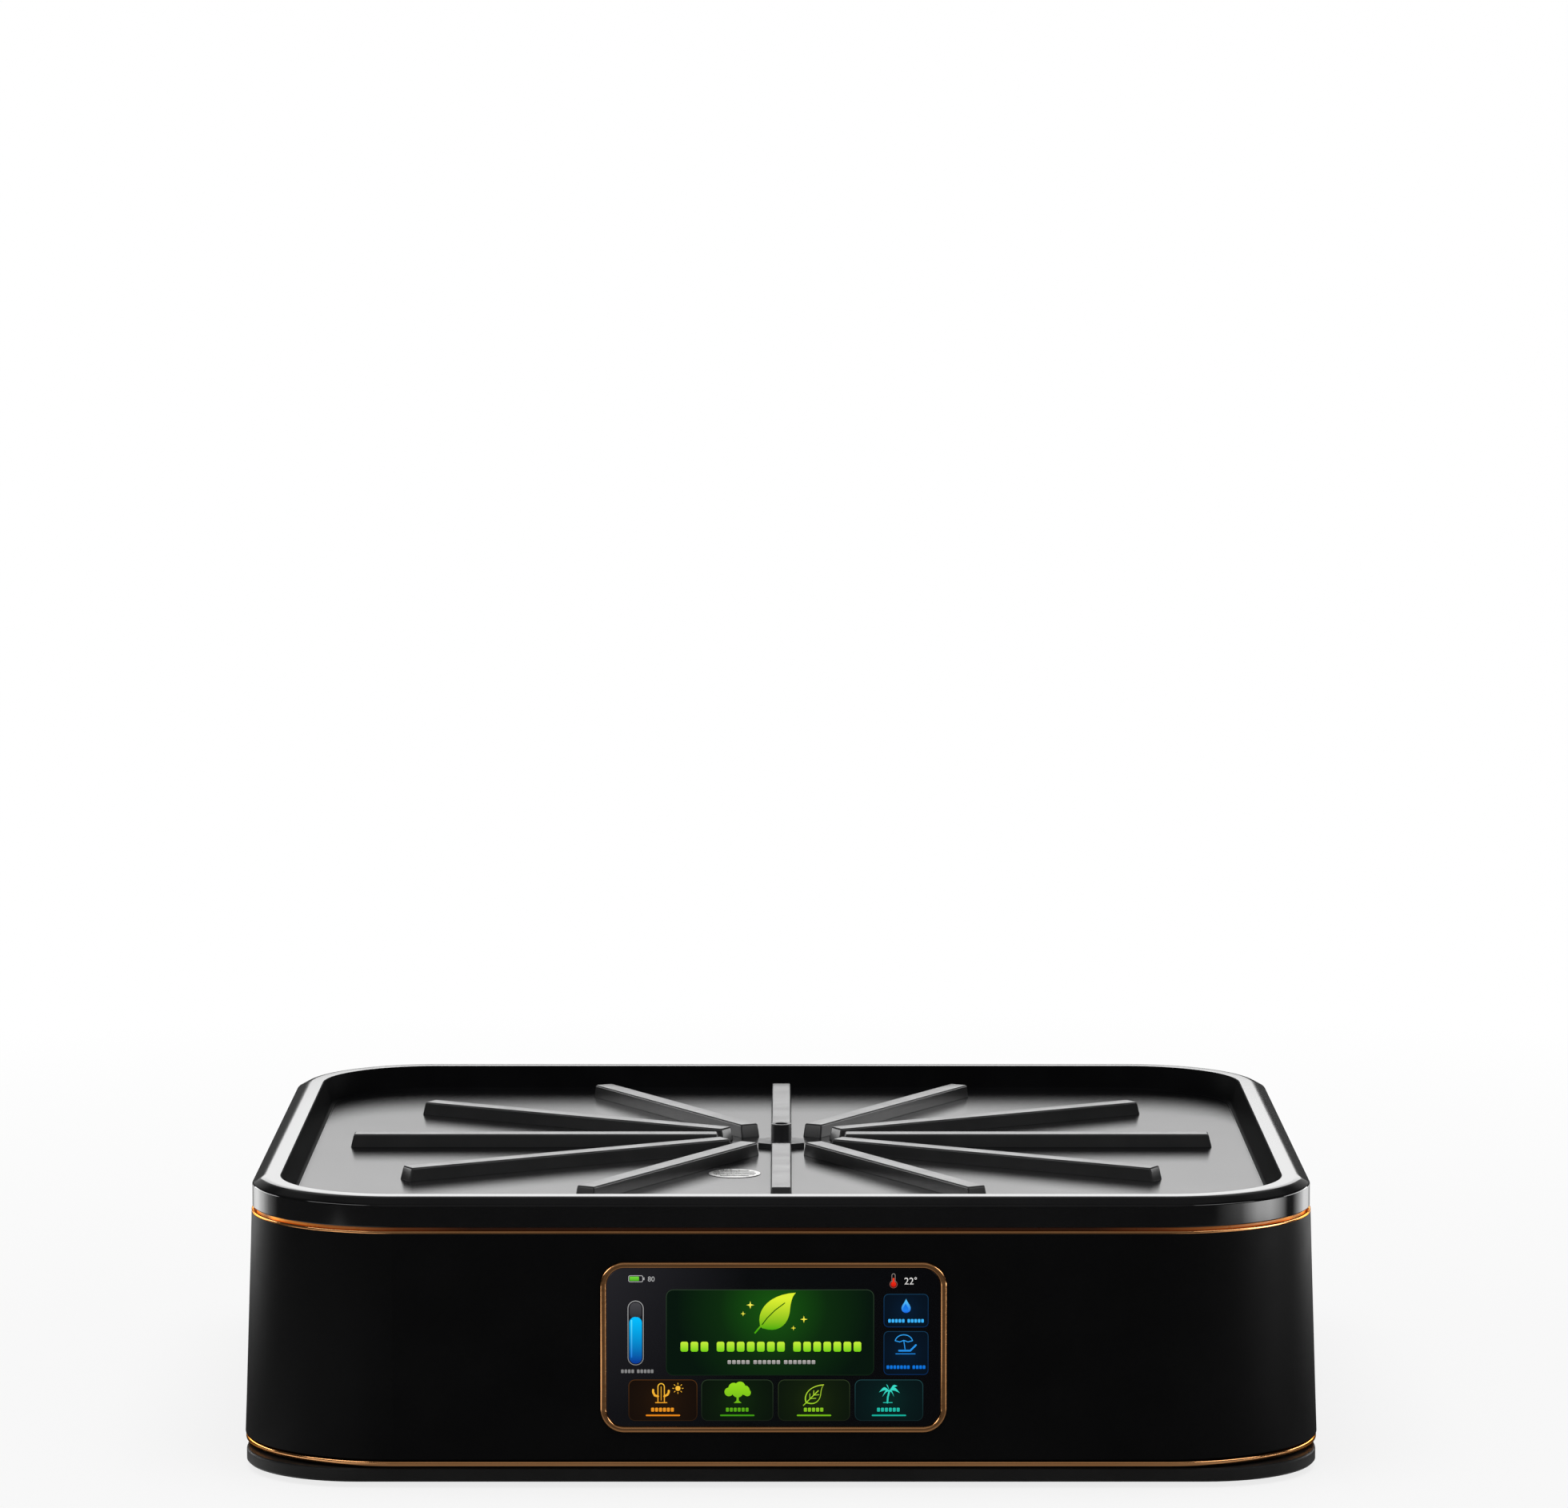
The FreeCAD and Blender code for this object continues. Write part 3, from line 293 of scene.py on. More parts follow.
GRAIN_DEPTH = 0.00002
LINE_DEPTH = 0.00003
GLOSS_DARK = (0.003, 0.003, 0.0034)
GLOSS_LIGHT = (0.0046, 0.0048, 0.0052)


def plain(name, dark, light, rough, patch=35.0, grain=900.0, strength=0.15, edge=0.0, **values):
    """Moulded or painted surface: two close tones, patchy roughness and a fine grain."""
    made = Material(name)
    made.colour(made.ramp(made.noise(patch, 4.0), [(0.35, dark), (0.65, light)]))
    made.roughness(made.spread(made.noise(patch * 2.3, 5.0), rough[0], rough[1]))
    made.bump(made.noise(grain, 2.0), strength, GRAIN_DEPTH, edge)
    made.set(**values)
    return made.material


def brushed(name, dark, light, rough, along, **values):
    """Metal with fine lines along one axis."""
    made = Material(name)
    lines = made.noise(1.0, 4.0, made.stretched(along))
    made.colour(made.ramp(lines, [(0.3, dark), (0.7, light)]))
    made.roughness(made.spread(lines, rough[0], rough[1]))
    made.bump(lines, 0.12, LINE_DEPTH)
    made.set(Metallic=1.0, **values)
    return made.material


def lit_surface(name):
    """Black, slightly glossy material that is ready for its own light."""
    made = Material(name)
    made.roughness(made.spread(made.noise(400.0, 2.0), 0.12, 0.2))
    made.set(Emission_Strength=1.0, Base_Color=(0, 0, 0, 1), IOR=1.3)
    return made


def glowing(name, low, high, bottom, top):
    """Lit screen element whose colour rises from low to high between two heights in metres."""
    made = lit_surface(name)
    height = made.spread(made.axis("Z"), 0.0, 1.0, bottom, top)
    made.wire(made.ramp(height, [(0.0, linear(*low)), (1.0, linear(*high))]), made.shader, "Emission Color")
    return made.material


def glow_spot(name, centre, reach, inner, outer):
    """Lit screen field that is brightest round one point of the front, in metres."""
    made = lit_surface(name)
    away = made.vectors("SUBTRACT", made.place, (centre[0], 0.0, centre[1]))
    distance = made.measure("LENGTH", made.vectors("MULTIPLY", away, (1, 0, 1)))
    fall = made.spread(distance, 0.0, 1.0, 0.0, reach)
    between = [(a + 2 * b) / 3 for a, b in zip(inner, outer)]
    colour = made.ramp(fall, [(0.0, linear(*inner)), (0.55, linear(*between)), (1.0, linear(*outer))])
    made.wire(colour, made.shader, "Emission Color")
    return made.material


def light_guide():
    """Amber guide that glows bright round the corners and fades along the straight runs, with a painted
    shadow band near its left and right ends; its base colour is painted with the same glow.
    """
    made = Material("amber_clear")
    across = made.spread(made.maths("ABSOLUTE", made.axis("X")), 0.0, 1.0, 0.115, 0.1975)
    along = made.spread(made.maths("ABSOLUTE", made.axis("Y")), 0.0, 1.0, 0.02, 0.09)
    flicker = made.spread(made.noise(60.0, 3.0), 0.88, 1.0)
    level = made.product(across, along, flicker)
    colour = made.ramp(level, [
        (0.0, (0.010, 0.0025, 0.0006)), (0.3, (0.05, 0.013, 0.0025)), (0.6, (0.17, 0.052, 0.009)),
        (0.8, (0.36, 0.125, 0.020)), (0.93, (0.80, 0.34, 0.035)), (1.0, (1.0, 0.62, 0.09))])
    # Painted shadow: a dark band near the left and right ends darkens the glow and the base colour that
    # copies it.
    shadow = (0.12, 0.09, 0.06)
    painted_shadow_band = made.ramp(across, [(0.90, grey(1)), (0.93, shadow), (0.965, shadow), (0.985, grey(1))])
    shaded = made.vectors("MULTIPLY", colour, painted_shadow_band)
    made.wire(shaded, made.shader, "Emission Color")
    # The base colour is painted with the glow, so the guide also looks lighter under lamps where it glows.
    made.colour(shaded)
    made.roughness(made.spread(made.noise(300.0), 0.25, 0.4))
    made.set(Emission_Strength=1.3)
    return made.material


def circuit_board():
    """Green solder mask with copper tracks and pale pads."""
    made = Material("circuit_board")
    edges = made.cells(260.0, feature="DISTANCE_TO_EDGE")
    tracks = made.ramp(edges, [(0.03, (0.10, 0.22, 0.07)), (0.09, (0.012, 0.075, 0.035))])
    dots = made.spread(made.cells(420.0), 1.0, 0.0, 0.08, 0.14)
    tin = made.ramp(made.noise(700.0), [(0.3, (0.45, 0.44, 0.40)), (0.7, (0.62, 0.60, 0.55))])
    made.colour(made.mixed(dots, tracks, tin))
    made.roughness(made.spread(made.noise(200.0), 0.25, 0.45))
    made.bump(edges, 0.2, 0.00005)
    return made.material


def battery_wrap():
    """Blue shrink wrap with soft cell shading and a lengthwise sheen."""
    made = Material("battery_wrap")
    wrinkles = made.noise(1.0, 5.0, made.stretched((18.0, 160.0, 160.0)))
    made.colour(made.ramp(wrinkles, [(0.3, (0.012, 0.05, 0.16)), (0.7, (0.02, 0.09, 0.26))]))
    made.roughness(made.spread(wrinkles, 0.22, 0.42))
    made.bump(wrinkles, 0.35, 0.0004)
    return made.material


def foam():
    """Open black foam."""
    made = Material("foam")
    pores = made.cells(1400.0)
    made.colour(made.ramp(pores, [(0.1, grey(0.01)), (0.7, (0.05, 0.05, 0.052))]))
    made.roughness(made.spread(made.noise(600.0), 0.8, 0.95))
    made.bump(pores, 0.6, 0.0003)
    return made.material


def rubber(name, dark, light):
    """Matt rubber with fine mould texture."""
    made = Material(name)
    speckle = made.noise(1600.0, 2.0)
    made.colour(made.ramp(made.noise(50.0, 4.0), [(0.3, dark), (0.7, light)]))
    made.roughness(made.spread(speckle, 0.62, 0.8))
    made.bump(speckle, 0.3, 0.00006)
    made.set(IOR=1.4)
    return made.material


def glass_with_painted_sheen():
    """Dark cover glass, darker towards its left and right ends, with a faint grey painted sheen that glows
    strongest at the upper left.
    """
    made = Material("cover_glass")
    from_middle = made.maths("ABSOLUTE", made.maths("SUBTRACT", made.axis("X"), DISPLAY_X * MM))
    made.colour(made.ramp(made.spread(from_middle, 0.0, 1.0, 0.0, 0.064), [
        (0.0, (0.0022, 0.0034, 0.0034)), (0.6, (0.0014, 0.0018, 0.0024)), (1.0, (0.0008, 0.0009, 0.0012))]))
    # Painted sheen: a faint grey glow at the upper left of the glass stands in for a reflection.
    left = made.spread(made.axis("X"), 1.0, 0.0, -0.066, -0.012)
    high = made.spread(made.axis("Z"), 0.25, 1.0, 0.028, 0.08)
    stops = [(0.0, (0.0006, 0.0006, 0.001)), (1.0, (0.016, 0.0155, 0.019))]
    made.wire(made.ramp(made.product(left, high), stops), made.shader, "Emission Color")
    made.roughness(made.spread(made.noise(12.0, 3.0), 0.04, 0.09))
    made.set(IOR=1.35, Emission_Strength=1.0)
    return made.material


def rim_gloss():
    """Gloss black whose surfaces that face inwards are dull."""
    made = Material("rim_gloss")
    level = made.vectors("MULTIPLY", made.node("TexCoord").outputs["Normal"], (1, 1, 0))
    facing = made.measure("DOT_PRODUCT", level, made.place)
    outward = made.spread(facing, 0.0, 1.0, -0.03, -0.008)
    made.colour(made.ramp(made.noise(35.0, 4.0), [(0.35, GLOSS_DARK), (0.65, GLOSS_LIGHT)]))
    made.roughness(made.spread(outward, 0.09, 0.5, 1.0, 0.0))
    made.wire(made.spread(outward, 0.5, 0.012, 1.0, 0.0), made.shader, "Specular IOR Level")
    made.bump(made.noise(500.0, 2.0), 0.02, GRAIN_DEPTH)
    made.set(IOR=1.5)
    return made.material


# One finish for each material slot
FINISH = {
    "gloss_black": plain("gloss_black", GLOSS_DARK, GLOSS_LIGHT, (0.07, 0.12),
                         grain=500.0, strength=0.02, IOR=1.45),
    "satin_black": plain("satin_black", (0.0036, 0.0036, 0.0038), (0.0046, 0.0046, 0.0048), (0.38, 0.43),
                         grain=1500.0, strength=0.08, edge=0.0003, IOR=1.3, Specular_IOR_Level=0.12),
    "plinth_grey": plain("plinth_grey", grey(0.0105), grey(0.0135), (0.38, 0.5),
                         grain=1100.0, strength=0.2, edge=0.0006, IOR=1.38, Specular_IOR_Level=0.3),
    "copper": brushed("copper", (0.84, 0.39, 0.15), (0.94, 0.47, 0.20), (0.10, 0.18), (30.0, 30.0, 900.0),
                      Specular_Tint=(1.0, 0.60, 0.28, 1.0)),
    "amber_clear": light_guide(),
    "lamp_strip": plain("lamp_strip", (0.62, 0.60, 0.54), (0.78, 0.76, 0.68), (0.3, 0.5)),
    "cover_glass": glass_with_painted_sheen(),
    "screen": plain("screen", (0.01, 0.012, 0.016), (0.02, 0.022, 0.028), (0.2, 0.3)),
    "black_rubber": rubber("black_rubber", grey(0.010), (0.018, 0.018, 0.019)),
    "foam": foam(),
    "circuit_board": circuit_board(),
    "battery_wrap": battery_wrap(),
    "dark_plastic": plain("dark_plastic", (0.010, 0.010, 0.0105), (0.015, 0.015, 0.016), (0.34, 0.5),
                          strength=0.3, edge=0.0004, IOR=1.42),
    "tank_clear": plain("tank_clear", (0.50, 0.54, 0.56), (0.60, 0.64, 0.66), (0.25, 0.4),
                        grain=300.0, edge=0.0004),
    "lid_grey": plain("lid_grey", (0.15, 0.155, 0.16), (0.19, 0.195, 0.20), (0.42, 0.56),
                      grain=1000.0, strength=0.3, edge=0.0004),
    "pump_black": plain("pump_black", (0.012, 0.012, 0.013), (0.02, 0.02, 0.022), (0.3, 0.45),
                        strength=0.2, edge=0.0003),
    "impeller_white": plain("impeller_white", (0.66, 0.66, 0.64), (0.76, 0.76, 0.74), (0.35, 0.5)),
    "ceramic": plain("ceramic", (0.78, 0.77, 0.74), (0.86, 0.85, 0.82), (0.12, 0.2)),
    "float_orange": plain("float_orange", (0.72, 0.20, 0.03), (0.82, 0.27, 0.05), (0.4, 0.55)),
    "steel": brushed("steel", (0.50, 0.50, 0.49), (0.62, 0.62, 0.61), (0.22, 0.36), (700.0, 60.0, 60.0)),
    "silicone": rubber("silicone", (0.16, 0.16, 0.165), (0.22, 0.22, 0.225)),
    "tube_clear": plain("tube_clear", (0.62, 0.66, 0.66), (0.70, 0.74, 0.74), (0.2, 0.35), grain=300.0),
    "cable_black": rubber("cable_black", grey(0.009), grey(0.016)),
}
RIM_GLOSS = rim_gloss()
TRAY_SATIN = plain("tray_satin", GLOSS_DARK, GLOSS_LIGHT, (0.235, 0.25),
                   patch=9.0, grain=1300.0, strength=0.03, IOR=1.4)
# Ribs of the tray's own black plastic, with a lighter base colour as a painted sheen for the light their
# fronts reflect.
RIB_PAINTED_SHEEN = plain("rib_painted_sheen", (0.034, 0.034, 0.035), (0.044, 0.044, 0.045), (0.20, 0.26),
                  grain=1300.0, strength=0.05, IOR=1.45)


# Meshes: every maker returns (vertices in mm, faces)

def outline_points(outline, inset=0.0, steps=CORNER_STEPS):
    """Points along a rounded outline, anticlockwise from the right side."""
    half_w, half_d, radius = outline
    run_w, run_d, reach = half_w - radius, half_d - radius, radius - inset
    points = []
    for turn, (cx, cy) in enumerate(((run_w, run_d), (-run_w, run_d), (-run_w, -run_d), (run_w, -run_d))):
        for i in range(steps + 1):
            angle = math.pi / 2 * (turn + i / steps)
            points.append((cx + reach * math.cos(angle), cy + reach * math.sin(angle)))
    return points


def softened(corners):
    """Section with each (inset, z, cut) corner rounded over its cut length."""
    steps = 5
    points = []
    for i, (inset, z, cut) in enumerate(corners):
        here = Vector((inset, z))
        if not cut:
            points.append(here)
            continue
        before = Vector(corners[i - 1][:2])
        after = Vector(corners[(i + 1) % len(corners)][:2])
        start = here + (before - here).normalized() * cut
        end = here + (after - here).normalized() * cut
        for j in range(steps + 1):
            t = j / steps
            points.append(start * (1 - t) ** 2 + here * 2 * t * (1 - t) + end * t ** 2)
    return points


def closed_faces(count, across):
    """Faces of a closed tube: count sections of across points each."""
    faces = []
    for i in range(count):
        here, following = i * across, (i + 1) % count * across
        for j in range(across):
            beside = (j + 1) % across
            faces.append((here + j, following + j, following + beside, here + beside))
    return faces


def ring(outline, corners, steps=CORNER_STEPS):
    """Section swept round an outline."""
    section = softened(corners)
    loops = [outline_points(outline, p.x, steps) for p in section]
    vertices = [(*point, p.y) for around in zip(*loops) for point, p in zip(around, section)]
    return vertices, closed_faces(len(loops[0]), len(section))


def turned_solid(profile, at):
    """Closed (radius, z) profile revolved about an upright line."""
    count = 64
    vertices = []
    for i in range(count):
        angle = 2 * math.pi * i / count
        vertices += [(at[0] + r * math.cos(angle), at[1] + r * math.sin(angle), z) for r, z in profile]
    return vertices, closed_faces(count, len(profile))


def curve_shape(curve):
    """Mesh of a curve or text, which is used up."""
    holder = bpy.data.objects.new("curve", curve)
    bpy.context.scene.collection.objects.link(holder)
    bpy.context.view_layer.update()
    mesh = bpy.data.meshes.new_from_object(holder.evaluated_get(bpy.context.evaluated_depsgraph_get()))
    shape = [tuple(v.co) for v in mesh.vertices], [tuple(p.vertices) for p in mesh.polygons]
    for block, holding in ((holder, bpy.data.objects), (curve, bpy.data.curves), (mesh, bpy.data.meshes)):
        holding.remove(block)
    return shape


def plate(loops, z0, z1, edge=0.0):
    """Flat plate from an outer loop and its holes, with rounded edges."""
    curve = bpy.data.curves.new("plate", "CURVE")
    curve.dimensions = "2D"
    curve.fill_mode = "BOTH"
    curve.extrude = (z1 - z0) / 2 - edge
    curve.bevel_depth = edge
    curve.bevel_resolution = 2
    curve.offset = -edge
    for loop in loops:
        spline = curve.splines.new("POLY")
        spline.points.add(len(loop) - 1)
        spline.use_cyclic_u = True
        for point, (x, y) in zip(spline.points, loop):
            point.co = (x, y, 0.0, 1.0)
    return moved(curve_shape(curve), Matrix.Translation((0, 0, (z0 + z1) / 2)))


def circle(radius, at, count=48):
    turns = [2 * math.pi * i / count for i in range(count)]
    return [(at[0] + radius * math.cos(turn), at[1] + radius * math.sin(turn)) for turn in turns]


def moved(shape, matrix):
    vertices, faces = shape
    return [tuple(matrix @ Vector(v)) for v in vertices], faces


def merged(shapes):
    vertices, faces = [], []
    for more_vertices, more_faces in shapes:
        start = len(vertices)
        vertices += more_vertices
        faces += [tuple(start + i for i in face) for face in more_faces]
    return vertices, faces


def bevelled(shape, width):
    """Shape with its sharp edges rounded."""
    made = bmesh.new()
    vertices = [made.verts.new(v) for v in shape[0]]
    for face in shape[1]:
        made.faces.new([vertices[i] for i in face])
    bmesh.ops.recalc_face_normals(made, faces=made.faces)
    blunt = math.radians(30)
    sharp = [e for e in made.edges if len(e.link_faces) == 2 and e.calc_face_angle(0.0) > blunt]
    bmesh.ops.bevel(made, geom=sharp, offset=width, segments=3, profile=0.5, affect="EDGES")
    made.verts.index_update()
    result = [tuple(v.co) for v in made.verts], [tuple(v.index for v in f.verts) for f in made.faces]
    made.free()
    return result


def piece(name, shape, slot, body="base", nodes=(), material=None, weighted=True):
    """Finished object from a shape: smooth where it should be, riding on its body."""
    mesh = bpy.data.meshes.new(name)
    mesh.from_pydata([Vector(v) * MM for v in shape[0]], [], shape[1])
    made = bmesh.new()
    made.from_mesh(mesh)
    bmesh.ops.remove_doubles(made, verts=made.verts, dist=1e-7)
    bmesh.ops.recalc_face_normals(made, faces=made.faces)
    for face in made.faces:
        face.smooth = True
    crease = math.radians(40)
    for edge in made.edges:
        edge.smooth = edge.calc_face_angle(0.0) < crease
    made.to_mesh(mesh)
    made.free()
    mesh.materials.append(material or FINISH[slot])
    thing = bpy.data.objects.new(name, mesh)
    bpy.context.scene.collection.objects.link(thing)
    if weighted:
        thing.modifiers.new("normals", "WEIGHTED_NORMAL").keep_sharp = True
    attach(thing, body)
    if nodes:
        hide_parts(*nodes)


# Tray

def rib(angle, reach):
    """Drafted bar along one radius, sunk a little into the floor."""
    levels = ((FLOOR_TOP - 0.5, 0.0, 0.0), (RIB_TOP, RIB_SIDE_DRAFT, RIB_END_DRAFT))
    vertices = []
    for z, side, end in levels:
        start, stop, half = RIB_START + end, reach - end, RIB_HALF - side
        vertices += [(start, -half, z), (stop, -half, z), (stop, half, z), (start, half, z)]
    faces = [(0, 1, 2, 3), (4, 5, 6, 7), (0, 1, 5, 4), (1, 2, 6, 5), (2, 3, 7, 6), (3, 0, 4, 7)]
    bar = bevelled((vertices, faces), 0.7)
    return moved(bar, Matrix.Translation((*RIB_CENTRE, 0)) @ Matrix.Rotation(math.radians(angle), 4, "Z"))


def make_tray():
    """Hollow chamfered rim, floor with its drain, and twelve ribs."""
    chamfer_in, chamfer_down = CHAMFER
    flat_end = chamfer_in + RIM_FLAT
    foot = flat_end + INNER_DRAFT
    under_rim = RIM_TOP - RIM_WALL
    rim = ring(OUTLINE, [
        (0, SKIRT_BOTTOM, 0.4), (0, RIM_TOP - chamfer_down, 0.7), (chamfer_in, RIM_TOP, 1.5),
        (flat_end, RIM_TOP, 0.5), (foot, FLOOR_TOP, 1.2), (FLOOR_EDGE, FLOOR_TOP, 0),
        (FLOOR_EDGE, FLOOR_BOTTOM, 0), (RIM_HOLLOW[1], FLOOR_BOTTOM, 0), (RIM_HOLLOW[0], under_rim, 0.4),
        (RIM_WALL, under_rim, 0.4), (RIM_WALL, SKIRT_BOTTOM, 0.4)])
    floor = plate([outline_points(OUTLINE, FLOOR_EDGE - 0.1), circle(SPIGOT_HOLE_R, RIB_CENTRE),
                   circle(DRAIN_HOLE_R, DRAIN)], FLOOR_BOTTOM, FLOOR_TOP)
    well = turned_solid([
        (DRAIN_HOLE_R, FLOOR_TOP - 0.05), (DRAIN_HOLE_R, DRAIN_SEAT), (TAIL_BORE_R, DRAIN_SEAT),
        (TAIL_BORE_R, TAIL_BOTTOM), (TAIL_R, TAIL_BOTTOM), (TAIL_R, FLOOR_BOTTOM + 0.1),
        (DRAIN_HOLE_R + 0.3, FLOOR_BOTTOM + 0.1), (DRAIN_HOLE_R + 0.3, FLOOR_TOP - 0.05)], DRAIN)
    ribs = []
    for angle in range(0, 360, 30):
        folded = min(angle % 180, 180 - angle % 180)
        ribs.append(rib(angle, RIB_REACH[folded]))
    piece("tray_rim", rim, "gloss_black", "tray", ["top_tray"], RIM_GLOSS)
    piece("tray_floor", merged([floor, well]), "gloss_black", "tray", ["top_tray"], TRAY_SATIN)
    piece("tray_ribs", merged(ribs), "gloss_black", "tray", ["top_tray"], RIB_PAINTED_SHEEN)


make_tray()


# Trims and light

def trim(outline, heights, insets, edges):
    """Ring with an upright section: bottom and top, outer and inner, and its outer edges' roundings."""
    bottom, top = heights
    outer, inner = insets
    section = [(outer, bottom, edges[0]), (outer, top, edges[1]), (inner, top, 0), (inner, bottom, 0)]
    return ring(outline, section)


bead = trim(HEAD, (HOUSING_TOP, BEAD_TOP), (0, BEAD_WIDTH), (0.25, 0.5))
half_round = trim(MOULDING, (TRIM_SEAT, LIP_BOTTOM), (0, MOULDING_WIDTH), (1.0, 1.0))
guide = trim(HEAD, (BEAD_TOP, GUIDE_TOP), (GUIDE_INSET, BEAD_WIDTH), (0, 0.2))
piece("upper_bead", bead, "copper", nodes=["upper_trim"])
piece("lower_bead", half_round, "copper", nodes=["lower_trim"])
piece("light_guide", guide, "amber_clear", nodes=["light_ring"])


# Display

NORMAL = Vector((0, -math.cos(TILT), math.sin(TILT)))
UPWARD = Vector((0, math.sin(TILT), math.cos(TILT)))


def wall_y(z):
    """How far in front of the middle the front wall stands at a height."""
    return HEAD[1] + (HOUSING_TOP - z) * FLARE / (HOUSING_TOP - HOUSING_BOTTOM)


ON_DISPLAY = Matrix.Translation((DISPLAY_X, -wall_y(DISPLAY_Z), DISPLAY_Z)) @ Matrix((
    (1, 0, 0, 0), (0, UPWARD.y, NORMAL.y, 0), (0, UPWARD.z, NORMAL.z, 0), (0, 0, 0, 1)))


def make_display():
    """Copper frame with a collar that reaches behind the wall, and the cover glass in it."""
    ledge, back = GLASS_BACK - 0.5, GLASS_BACK - 2.0
    frame_section = [
        (0, 0, 0), (0, BEZEL_PROUD, 0.88), (BEZEL_WIDTH, BEZEL_PROUD, 0.85), (BEZEL_WIDTH, ledge, 0),
        (BEZEL_LIP, ledge, 0), (BEZEL_LIP, back, 0), (BEZEL_COLLAR, back, 0), (BEZEL_COLLAR, 0, 0)]
    surround = ring(BEZEL, frame_section, BEZEL_STEPS)
    pane = plate([outline_points(BEZEL, BEZEL_WIDTH + 0.1, BEZEL_STEPS)], GLASS_BACK, GLASS_TOP, 0.2)
    piece("bezel_frame", moved(surround, ON_DISPLAY), "copper", nodes=["display_bezel"])
    piece("cover_pane", moved(pane, ON_DISPLAY), "cover_glass", nodes=["display_glass"])


make_display()


# Screen graphics: flat lit shapes on the glass, drawn in layout units from its middle

UNIT = 0.2956
SUNK = 0.05

# How far each layer stands above the glass
FIELD = 0.02
EDGE = 0.03
ICON = 0.05
DETAIL = 0.07

# Layout boxes: left, bottom, right, top
MAIN = (-134.3, -35.2, 125.7, 73.0)
SIDE_TILES = {"supply": (137.7, 25.5, 193.7, 67.5), "away": (137.7, -34.5, 193.7, 20.5)}
MODE_TILES = {"amber": (-181.3, -92.5, -95.3, -40.5), "forest": (-90.3, -92.5, -0.3, -40.5),
              "leaf": (5.7, -92.5, 95.7, -40.5), "teal": (101.7, -92.5, 187.2, -40.5)}


def raised(loops):
    """Vertices on the display from (loop, height above the glass) pairs."""
    return [(x * UNIT, y * UNIT, GLASS_TOP + z) for loop, z in loops for x, y in loop]


def flat(loop, top=ICON):
    """Thin closed plate on the glass from one simple loop."""
    count = len(loop)
    faces = [tuple(range(count)), tuple(range(count, 2 * count))]
    faces += [(i, (i + 1) % count, count + (i + 1) % count, count + i) for i in range(count)]
    return raised([(loop, -SUNK), (loop, top)]), faces


def band(outer, inner, top=ICON):
    """Thin closed plate between two loops with the same number of points."""
    count = len(outer)
    faces = []
    for i in range(count):
        j = (i + 1) % count
        for a, b in ((0, 1), (1, 3), (3, 2), (2, 0)):
            faces.append((a * count + i, a * count + j, b * count + j, b * count + i))
    return raised([(outer, -SUNK), (outer, top), (inner, -SUNK), (inner, top)]), faces


def box_loop(x0, y0, x1, y1, radius):
    centre_x, centre_y = (x0 + x1) / 2, (y0 + y1) / 2
    loop = outline_points(((x1 - x0) / 2, (y1 - y0) / 2, radius), 0.0, 6)
    return [(x + centre_x, y + centre_y) for x, y in loop]


def box_band(x0, y0, x1, y1, radius, width):
    inner = box_loop(x0 + width, y0 + width, x1 - width, y1 - width, max(radius - width, 0.1))
    return band(box_loop(x0, y0, x1, y1, radius), inner, EDGE)


def bezier(*spans):
    """Loop from cubic spans that share their ends."""
    points = []
    for span in spans:
        for i in range(10):
            t = i / 10
            weights = ((1 - t) ** 3, 3 * t * (1 - t) ** 2, 3 * t * t * (1 - t), t ** 3)
            points.append(tuple(sum(w * p[k] for w, p in zip(weights, span)) for k in (0, 1)))
    return points


def line(points, width, top=ICON):
    """Round-ended stroke through some points."""
    strokes = []
    for (x0, y0), (x1, y1) in zip(points, points[1:]):
        angle = math.atan2(y1 - y0, x1 - x0)
        loop = []
        for x, y, start in ((x1, y1, angle - math.pi / 2), (x0, y0, angle + math.pi / 2)):
            turns = [start + math.pi * i / 6 for i in range(7)]
            loop += [(x + width / 2 * math.cos(turn), y + width / 2 * math.sin(turn)) for turn in turns]
        strokes.append(flat(loop, top))
    return merged(strokes)


def lines(x, y, width, *runs):
    """Strokes of one width, whose points are given from (x, y)."""
    return merged([line([(x + dx, y + dy) for dx, dy in run], width) for run in runs])


def arc(x, y, radius_x, radius_y, start, end, count=12):
    """Open run of points along an ellipse, angles in degrees."""
    angles = [math.radians(start + (end - start) * i / count) for i in range(count + 1)]
    return [(x + radius_x * math.cos(a), y + radius_y * math.sin(a)) for a in angles]


def blocks(x0, x1, y, height, *groups):
    """Row of small rounded blocks in groups."""
    gap = 0.6
    step = (x1 - x0) / (sum(groups) + gap * (len(groups) - 1))
    low, high, radius = y - height / 2, y + height / 2, 0.2 * min(step, height)
    shapes, x = [], x0
    for group in groups:
        for _ in range(group):
            shapes.append(flat(box_loop(x + 0.1 * step, low, x + 0.86 * step, high, radius)))
            x += step
        x += gap * step
    return merged(shapes)


def digits(text, x, y, height):
    """Plain numbers, standing on a base line."""
    height_of_size = 0.7
    curve = bpy.data.curves.new("digits", "FONT")
    curve.body = text
    curve.size = height / height_of_size
    curve.extrude = 0.01
    vertices, faces = curve_shape(curve)
    on_glass = [((px + x) * UNIT, (py + y) * UNIT, GLASS_TOP + (ICON if pz > 0 else -SUNK))
                for px, py, pz in vertices]
    return on_glass, faces


def placed(x, y, size, spans):
    """Loop from cubic spans that are drawn from 0 to 1."""
    return bezier(*[[(x + size * px, y + size * py) for px, py in span] for span in spans])


def leaf_loop(x, y, size):
    """Plump pointed leaf whose tip is at the upper right."""
    return placed(x, y, size, (
        ((1.0, 1.0), (0.3, 0.97), (-0.1, 0.55), (0.0, 0.1)),
        ((0.0, 0.1), (0.03, 0.02), (0.08, -0.01), (0.1, 0.0)),
        ((0.1, 0.0), (0.55, -0.15), (0.82, 0.15), (0.84, 0.55)),
        ((0.84, 0.55), (0.86, 0.75), (0.9, 0.9), (1.0, 1.0))))


